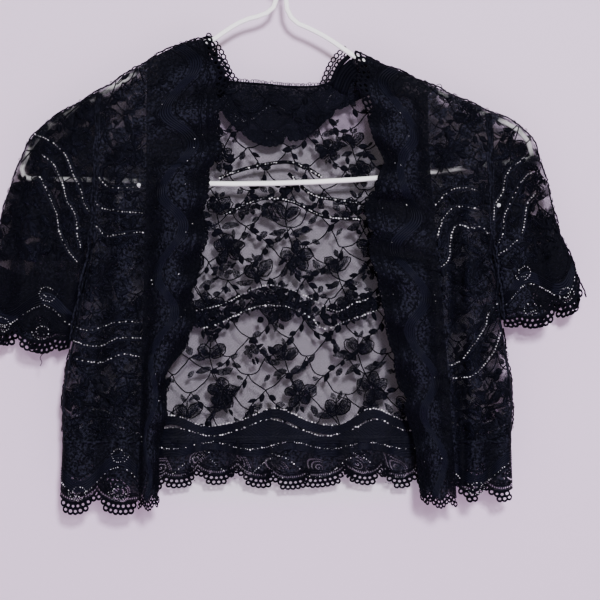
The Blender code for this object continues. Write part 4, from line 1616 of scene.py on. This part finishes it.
for name, first, last, lines, box in (
    ("left", left_x, left_seam, LEFT_SILVER, (-178, -106)),
    ("right", right_seam, right_x, RIGHT_SILVER, (118, 190)),
):
    holds = between(first, last, shoulder_z)
    work, metal = Work(holds), Work(holds)
    close_lace(work, box, (-120, -432), range(90, 440, 40), rng, step=60, size=0.9, flip=-1)
    for line in lines:
        silver_line(metal, line, rng)
        ribbon(work, line, (-1.6 * MM, 1.6 * MM), rng, 0.6 * MM)
    hang_lace("front_" + name, work, metal, front_cloth)

# %% [markdown]
# ## The sleeves' lace
#
# Each sleeve is drawn twice, on its front and behind it. The hidden side repeats the silver lines
# of the front, as a guess.

# %% The sleeves' lace
LEFT_SLEEVE_SILVER = (
    px((36, 135), (46, 139), (62, 150), (69, 160), (76, 178), (82, 188), (85, 202),
       (92, 214)),
    px((44, 156), (54, 164), (64, 184), (68, 200), (77, 216), (79, 236), (82, 248)),
    px((42, 178), (50, 196), (58, 214), (61, 232), (68, 248), (80, 264)),
)
RIGHT_SLEEVE_SILVER = (
    px((523, 158), (514, 166), (505, 175), (502, 192), (494, 205), (492, 220), (488, 234)),
    px((530, 174), (523, 178), (516, 189), (510, 201), (503, 218), (501, 236), (492, 251),
       (488, 257)),
    px((534, 194), (526, 205), (523, 220), (520, 234), (511, 245), (499, 254), (490, 263)),
)
rng = np.random.default_rng(11)
for name, sleeve, lines, box in (
    ("left", left_sleeve, LEFT_SLEEVE_SILVER, (-226, -144)),
    ("right", right_sleeve, RIGHT_SLEEVE_SILVER, (166, 230)),
):
    for face, side in (("front", -1), ("behind", 1)):
        work, metal = Work(sleeve.holds), Work(sleeve.holds)
        close_lace(work, box, (-150, -306), range(90, 300, 36), rng, step=56, size=0.85, flip=side)
        for line in lines:
            silver_line(metal, line, rng)
            ribbon(work, line, (-1.5 * MM, 1.5 * MM), rng, 0.5 * MM)
        hang_lace(f"sleeve_{name}_{face}", work, metal, sleeve.cloth(side))

# %% [markdown]
# ## Eyelets along the scallops
#
# Along the scallops run two rows of round eyelets, with holes of 2 to 3 mm, and thin cords
# beside them. Every pattern of the strip is drawn as w over s, so it follows wherever the strip
# is sewn.

# %% Eyelets along the scallops
EYELET_PITCH = 4.8 * MM
EYELET_INSETS = (2.1 * MM, 5.9 * MM)  # of the two rows, from the scalloped edge
EYELET_LONG, EYELET_SHORT = 2.35 * MM, 2.05 * MM  # radii of the middle of its rim
EYELET_RIM = 0.96 * MM  # half the width of its rim


def thin_shade(rng):
    """The shade of a plain thread of the edging."""
    return rng.random() * 0.6


def draw_eyelets(edging, work, rng, band):
    """Two rows of eyelets along the scallops, and along a band's foot too."""
    for row, inset in enumerate(EYELET_INSETS):
        stop = edging.length - (6 if band else 1.5) * MM
        for s in np.arange((1 + row) * EYELET_PITCH / 2, stop, EYELET_PITCH):
            size = 0.92 + 0.16 * rng.random()
            work.loop(s, float(edging.edge(s)) - inset, EYELET_LONG * size, EYELET_SHORT * size,
                      EYELET_RIM, shade=thin_shade(rng))
    for row, inset in enumerate(EYELET_INSETS if band else ()):
        for w in np.arange((1 + row) * EYELET_PITCH / 2, edging.width - 7 * MM, EYELET_PITCH):
            work.loop(float(edging.low_end(w)) - inset, w, EYELET_SHORT, EYELET_LONG, EYELET_RIM,
                      shade=thin_shade(rng))


print("eyelets on 1 m of edging:", round(2 / EYELET_PITCH))

# %% [markdown]
# ## Ribs that swing across the strip
#
# Satin ribs swing from side to side across the strip. Only the hem's edging of the back has a
# plain band of ribs along its seam instead, with a line of silver below it.

# %% Ribs that swing across the strip
def draw_ribs(edging, work, metal, rng, plain, band, pitch):
    """Cords beside the eyelets, the ribs and the silver line that goes with them."""
    s = np.arange(0.5 * MM, edging.length - (9 * MM if band else 0), 2 * MM)
    edge = edging.edge(s)

    def run(w):
        return np.column_stack([s, w])

    for inset, width in ((8.3, 0.75), (13.0, 0.5), (14.6, 0.4)):
        work.strand(run(edge - inset * MM), width * MM, shade=thin_shade(rng))
    swing = 0.44 * edging.width + 10 * MM * np.sin(math.pi * s / pitch)
    if plain:
        for w in np.arange(1.5, 13, 1.15):
            wavy = w * MM + 0.26 * w * MM * np.sin(math.pi * s / pitch - 0.9)
            work.strand(run(wavy), 0.75 * MM, 0.4 * MM, shade=satin_shade(rng))
        metal.beads(run(wavy - 6 * MM), SILVER_PITCH, 0.5 * MM, rng, gaps=0.12)
    else:
        for offset in (-3.6, -1.8, 0, 1.8, 3.6):
            work.strand(run(swing + offset * MM), 0.85 * MM, 0.6 * MM, shade=satin_shade(rng))
        for offset in (-7.4, 7.4):
            work.strand(run(swing + offset * MM), 0.45 * MM, shade=thin_shade(rng))
    metal.beads(run(swing + 5.4 * MM), SILVER_PITCH, 0.40 * MM, rng, gaps=0.98 if band else 0.4)


print("a swing takes, mm of the strip:", PITCH)

# %% [markdown]
# ## Scrolls and small flowers
#
# Scrolls with silver stitches and small flowers fill the bays between the ribs. On the bands
# hardly any silver shows.

# %% Scrolls and small flowers
def draw_scrolls(edging, work, metal, rng, band, pitch):
    """Scrolls in the bays of the ribs, alternately near the seam and near the scallops."""
    turn = np.linspace(0, 3.6 * math.pi, 26)
    radius = np.linspace(7.5, 1.6, 26) * MM
    near, far = 10 * MM, 38 * MM
    k = 0
    while (k + 1.5) * pitch < edging.length + pitch:
        flip = 1 if k % 2 else -1
        for centre, w in ((k + 0.5, near if k % 2 else far), (k + 1.5, far)):
            line = np.column_stack([centre * pitch + 1.25 * radius * np.cos(turn) * flip,
                                    w + 0.85 * radius * np.sin(turn)])
            if line[:, 0].min() > 0 and line[:, 0].max() < edging.length:
                work.strand(line, 0.5 * MM, shade=thin_shade(rng))
                metal.beads(line[:20], 2.1 * MM, 0.34 * MM, rng, gaps=0.98 if band else 0.15)
        k += 1


def draw_flowers(edging, work, rng, pitch):
    """Small flowers, alternately near the scallops and near the seam."""
    for k in range(int(edging.length / (pitch / 2))):
        s = (k + 0.5) * pitch / 2 + rng.normal(0, MM)
        w = (0.17 if k % 2 else 0.66) * edging.width
        if 8 * MM < s < edging.length - 8 * MM:
            flower(work, s, w, 5.5 * MM, rng.random() * 6, rng)


rng = np.random.default_rng(19)
for name, edging in edgings.items():
    work, metal = Work(edging.holds), Work(edging.holds)
    band = "band" in name
    draw_eyelets(edging, work, rng, band)
    draw_ribs(edging, work, metal, rng, name == "hem_flounce_back", band, PITCH * MM)
    draw_scrolls(edging, work, metal, rng, band, PITCH * MM)
    draw_flowers(edging, work, rng, PITCH * MM)
    hang_lace(name, work, metal, edging.cloth)

# %% [markdown]
# ## Seams
#
# The seams are covered by uneven cords: over the armholes, down the sides and along the top of
# the hem's edging, so that no gap of light shows between two sheets. The cords in front have the
# speckled tones of the ground, because a real seam in lace nearly disappears.

# %% Seams
seam_cord = lace_finish("seam_cord")
speckled_yarn_and_painted_fold_shade(seam_cord, 0.30, 1.3)
rng = np.random.default_rng(23)
seams = Work()
for sleeve, edge_x in ((left_sleeve, left_x), (right_sleeve, right_x)):
    z = np.arange(float(sleeve.edge[0, 1]) - 3 * MM, float(sleeve.hem[-1, 1]), -3 * MM)
    # Where each cord runs beside the seam, and the length of its waves
    for aside, length in ((-1.0, 6.3), (0.6, 8.1), (2.1, 5.2)):
        uneven = 0.6 * MM * np.sin(z / (length * MM)) + rng.normal(0, 0.25 * MM, len(z))
        seams.strand(np.column_stack([edge_x(z) + sleeve.side * aside * MM + uneven, z]),
                     (0.9 + 0.5 * rng.random(len(z))) * MM, 0.35 * MM)
    z = np.arange(float(sleeve.hem[-1, 1]), HEM_SEAM_Z, -3 * MM)
    seams.strand(np.column_stack([edge_x(z) - sleeve.side * 1.6 * MM, z]), 1.3 * MM, 0.3 * MM)
for first, last in ((left_x, left_seam), (right_seam, right_x)):
    x = np.linspace(float(first(HEM_SEAM_Z)), float(last(HEM_SEAM_Z)), 24)
    seams.strand(np.column_stack([x, np.full(24, HEM_SEAM_Z - 0.6 * MM)]), 1.9 * MM, 0.3 * MM)
hang_work("seams_front", seams, front_cloth, seam_cord.material)
seams = Work()
x = np.linspace(float(left_x(HEM_SEAM_Z)), float(right_x(HEM_SEAM_Z)), 160)
for above in (-2.4, -1.3, -0.2, 0.9, 2.0):
    wavy = HEM_SEAM_Z + above * MM + 0.4 * MM * np.sin(x / (9 * MM))
    seams.strand(np.column_stack([x, wavy]), 0.8 * MM, 0.5 * MM, shade=satin_shade(rng))
seam_back = hang_work("seam_back", seams, back_cloth, worked.material)

# %% [markdown]
# ## An uneven outline
#
# A fold of lace never has a clean edge, so a thin wavering cord with small loops runs along every
# folded edge that shows against the wall.

# %% An uneven outline
LOOPS_SHARE = 0.16  # of the places along the outline

outline = Work()
left_fold = part_of(FOLD, left_sleeve.hem[0], NECK_TOPS[0])
right_fold = part_of(FOLD, NECK_TOPS[1], right_sleeve.hem[0])
left_side, right_side = (s.edge[(s.edge[:, 1] > HEM_SEAM_Z) & (s.edge[:, 1] < s.hem[-1, 1])]
                         for s in (left_sleeve, right_sleeve))
for line, out in ((left_fold, 1), (right_fold, 1), (left_side, -1), (right_side, 1)):
    line = spaced(line, 1.6 * MM)
    normal = beside(line) * out
    away = 0.3 + (rng.normal(0, 0.28, len(line)) + 0.5 * np.sin(np.arange(len(line)) / 3.1))
    width = (0.55 + 0.2 * rng.random(len(line))) * MM
    outline.strand(line + normal * away[:, None] * MM, width, shade=0.3)
    for place in (line + normal * 0.5 * MM)[rng.random(len(line)) < LOOPS_SHARE]:
        radii = ((0.7 + 0.5 * rng.random()) * MM for _ in range(2))
        outline.loop(*place, *radii, 0.28 * MM, points=6, shade=0.3)
hang_work("edge_threads", outline, flat_cloth, worked.material)

# %% [markdown]
# ## The neck's small edge
#
# A row of tiny loops finishes the neck. At its sides stand two rows of eyelets that belong to the
# edging where it turns over the shoulders.

# %% The neck's small edge
# The rows of eyelets at the sides of the neck, x and z, down from the shoulders
PICOTS_LEFT = table(
    (-57, -108), (-51, -115), (-46.5, -122), (-43.5, -130), (-40, -137), (-36, -142.5),
)
PICOTS_RIGHT = table((51, -119), (44.5, -125), (39.5, -132.5), (36.5, -139.5), (34.5, -145))
# Distances of the flat strands beside the right rows, which show the edging's ground turning over
GROUND_BESIDE = (9.6, 11.8, 14.0, 16.2, 18.4)

neck = Work()
for place in spaced(part_of(NET_EDGE, *NECK_LOOPS_ENDS), 1.7 * MM):
    place = place + np.array([0, 1.2 * MM]) + rng.normal(0, 0.4 * MM, 2)
    neck.loop(*place, 1.1 * MM, 1.5 * MM, 0.32 * MM, points=6, shade=rng.random())
neck.strand(part_of(NET_EDGE, *NECK_CORD_ENDS), 0.8 * MM, 0.4 * MM, shade=0.2)
for places, outward in ((PICOTS_LEFT, -1), (PICOTS_RIGHT, 1)):
    line = spaced(smooth_line(places), 4.0 * MM)
    normal = beside(line)
    normal *= outward * np.sign(normal[:, :1])
    way = math.atan2(*(line[-1] - line[0])[::-1])
    for row in range(2):
        for place in line + normal * 3.5 * MM * row + np.array([0, -2 * MM * row]):
            neck.loop(*place, 2.05 * MM, 1.75 * MM, 0.62 * MM, turn=way, shade=0.2)
    neck.strand(line + normal * 6.9 * MM, 2.0 * MM, 0.35 * MM, shade=0.2)
    for aside in GROUND_BESIDE if outward > 0 else ():
        strand = line + normal * aside * MM + np.array([0, -0.2 * aside * MM])
        neck.strand(strand, 1.9 * MM, 0.35 * MM, shade=thin_shade(rng))
neck_edge = hang_work("neck_edge", neck, back_cloth, worked.material)

# %% [markdown]
# ## Stones and loose threads
#
# Two small clear stones are glued to the cloth, and two ends of thread have come loose. They show
# that the piece has been worn.

# %% Stones and loose threads
STONE_RADIUS, STONE_LIFT = 1.7 * MM, 1.3 * MM

clear = Finish("clear_stone_looks", Roughness=0.08, Transmission_Weight=0.5, IOR=1.6)
clear.feed("Base Color", clear.blend(clear.noise(300), (0.85, 0.9, 1.0), (1.0, 1.0, 1.0)))
for name, pixel, cloth in (
    ("stone_left", (140, 186), front_cloth),
    ("stone_right", (497, 206), right_sleeve.cloth(-1)),
):
    x, z = px(pixel)[0]
    spot = cloth.hang(np.array([x]), np.array([z]), np.array([STONE_LIFT]))[0]
    bpy.ops.mesh.primitive_ico_sphere_add(subdivisions=2, radius=STONE_RADIUS, location=spot)
    stone = bpy.context.object
    stone.name = name
    stone.data.transform(stone.matrix_world)
    stone.matrix_world.identity()
    stone.data.materials.append(clear.material)
    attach(stone, "root")

loose = Work()
for end in (px((44, 348), (43, 353), (40, 358), (42, 362), (40, 366)),
            px((434, 92), (436, 86), (440, 84), (442, 88), (439, 93))):
    loose.cord(smooth_line(end), 0.3 * MM, step=1.2 * MM, shade=0.1)
hang_work("loose_threads", loose, flat_cloth, worked.material)

# %% [markdown]
# ## The camera
#
# The camera looks straight at the front, from where the picture was taken.

# %% The camera
VIEW_X, VIEW_Z = 16 * MM, -320 * MM
VIEW_WIDTH = 480 * MM
CAMERA_AWAY = 1.3
SENSOR = 36  # millimetres across

camera = place_in_scene("camera", bpy.data.cameras.new("camera"))
camera.data.lens = SENSOR * CAMERA_AWAY / VIEW_WIDTH
camera.location = (VIEW_X, -CAMERA_AWAY, VIEW_Z)
camera.rotation_euler = (math.pi / 2, 0, 0)
bpy.context.scene.camera = camera
print("the camera sees, mm across:", VIEW_WIDTH / MM)

# %% [markdown]
# ## The wall behind it
#
# Behind the hanger is a wall painted a pale mauve, and greyer where the picture shows it through
# the net. That greyer patch behind the garment is painted shade: the tint of the shade that the
# lace casts on the wall. It only shows from the front, so that the back can be looked at too.

# %% The wall behind it
WALL_Y = 32 * MM
WALL_SIDE, WALL_TOP, FLOOR_Z, FLOOR_Y = 1.5, 0.8, -0.9, -2.5
# Where the paint is greyer, as painted shade behind the garment: middle x and z, half width and
# half height
BEHIND_X, BEHIND_Z, BEHIND_WIDE, BEHIND_HIGH = 0.006, -0.335, 0.17, 0.155

wall_paint = Finish("wall_paint", Roughness=0.9)
across, up = wall_paint.axes(wall_paint.place(), "X", "Z")
plain_wall = wall_paint.blend(wall_paint.noise(3), (0.668, 0.528, 0.690), (0.688, 0.546, 0.708))
# The greyer patch is painted shade, the tint of the shade that the garment casts on the wall
p, q = (across - BEHIND_X) / BEHIND_WIDE, (up - BEHIND_Z) / BEHIND_HIGH
behind = 1 - (p * p * p * p + q * q * q * q).step(0.6, 1.1)
wall_paint.feed("Base Color", wall_paint.blend(behind, plain_wall, (0.645, 0.595, 0.665)))
behind_it = wall_paint.node("ShaderNodeNewGeometry", out="Backfacing")
painted = Signal(wall_paint, wall_paint.shader.outputs[0])
see_through = wall_paint.node("ShaderNodeBsdfTransparent")
mixed = wall_paint.node("ShaderNodeMixShader", None, behind_it, painted, see_through)
surface = wall_paint.tree.nodes["Material Output"].inputs["Surface"]
wall_paint.tree.links.new(mixed.socket, surface)
for name, (y0, z0), (y1, z1) in (
    ("wall", (WALL_Y, FLOOR_Z), (WALL_Y, WALL_TOP)),
    ("floor", (FLOOR_Y, FLOOR_Z), (WALL_Y, FLOOR_Z)),
):
    mesh = bpy.data.meshes.new(name)
    corners = [(-WALL_SIDE, y0, z0), (WALL_SIDE, y0, z0), (WALL_SIDE, y1, z1), (-WALL_SIDE, y1, z1)]
    mesh.from_pydata(corners, [], [(0, 1, 2, 3)])
    mesh.materials.append(wall_paint.material)
    place_in_scene(name, mesh)
print("from the wall to the middle of the garment, mm:", round(WALL_Y / MM))

# %% [markdown]
# ## Light
#
# One lamp stands to the upper right and not far from the camera, as the short shadows to the
# lower left show. The rest is even light from all round, slightly warm.

# %% Light
LAMP_PLACE, LAMP_AIM = Vector((0.26, -1.9, 0.22)), Vector((0, 0, -0.3))
LAMP_SIZE, LAMP_POWER = 0.26, 66

lamp = place_in_scene("key", bpy.data.lights.new("key", "AREA"))
lamp.data.shape = "DISK"
lamp.data.size = LAMP_SIZE
lamp.data.energy = LAMP_POWER
lamp.data.color = (0.93, 0.92, 1.0)
lamp.location = LAMP_PLACE
lamp.rotation_euler = (LAMP_AIM - LAMP_PLACE).to_track_quat("-Z", "Y").to_euler()

world = bpy.data.worlds.new("room")
world.use_nodes = True
background = world.node_tree.nodes["Background"]
background.inputs["Color"].default_value = (0.90, 0.885, 0.76, 1)
background.inputs["Strength"].default_value = 0.78
bpy.context.scene.world = world
print("lamps:", len(bpy.data.lights))

# %% [markdown]
# ## What each sheet stands for
#
# Every net takes the place of one solid of the packed model, which is hidden. Each is listed with
# the piece it hangs from.

# %% What each sheet stands for
for node in ("back", "front_left", "front_right", "sleeve_left", "sleeve_right", *edgings):
    piece = bpy.data.objects["net_" + node]
    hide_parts(node)
HANGS_FROM = {
    "net_back": "hanger_frame", "net_front_left": "hanger_frame", "net_front_right": "hanger_frame",
    "net_sleeve_left": "net_back", "net_sleeve_right": "net_back",
    "net_hem_flounce_back": "net_back", "net_collar_back": "net_back",
    "net_hem_flounce_left": "net_front_left", "net_band_left": "net_front_left",
    "net_hem_flounce_right": "net_front_right", "net_band_right": "net_front_right",
    "net_sleeve_flounce_left": "net_sleeve_left", "net_sleeve_flounce_right": "net_sleeve_right",
}
print("solids that a net stands for:", len(HANGS_FROM))

# %% [markdown]
# ## The flat cut of each sheet
#
# The flat cut of each sheet was measured when it was hung. A sleeve's pattern is measured pressed
# flat, so its cut is twice as wide, and the collar fills only part of its rectangle.

# %% The flat cut of each sheet
def carried_by(node):
    """The lace and silver pieces on a net, such as lace_back, or lace_sleeve_left_front."""
    sides = ("", "_behind", "_front")
    names = [kind + node + side for kind in ("lace_", "silver_") for side in sides]
    return [piece for piece in bpy.data.objects if piece.name in names]


for name, carrier in HANGS_FROM.items():
    piece, node = bpy.data.objects[name], name.removeprefix("net_")
    width, length, area = flat_sizes[name]
    if node == "collar_back":
        area *= COLLAR_SHARE
    if node in ("sleeve_left", "sleeve_right"):
        width *= 2
    work = carried_by(node)
    if node == "back":
        work += [neck_edge, seam_back]
    "gathered" if node in edgings else "hung"
    hung = sum(face.area for face in piece.data.polygons)
    print(name, "flat, mm:", round(width / MM), "x", round(length / MM),
          "of it", round(area / width / length, 2), "hung over flat", round(hung / area, 2),
          "pieces on it", len(work))

# %% [markdown]
# ## The finished model
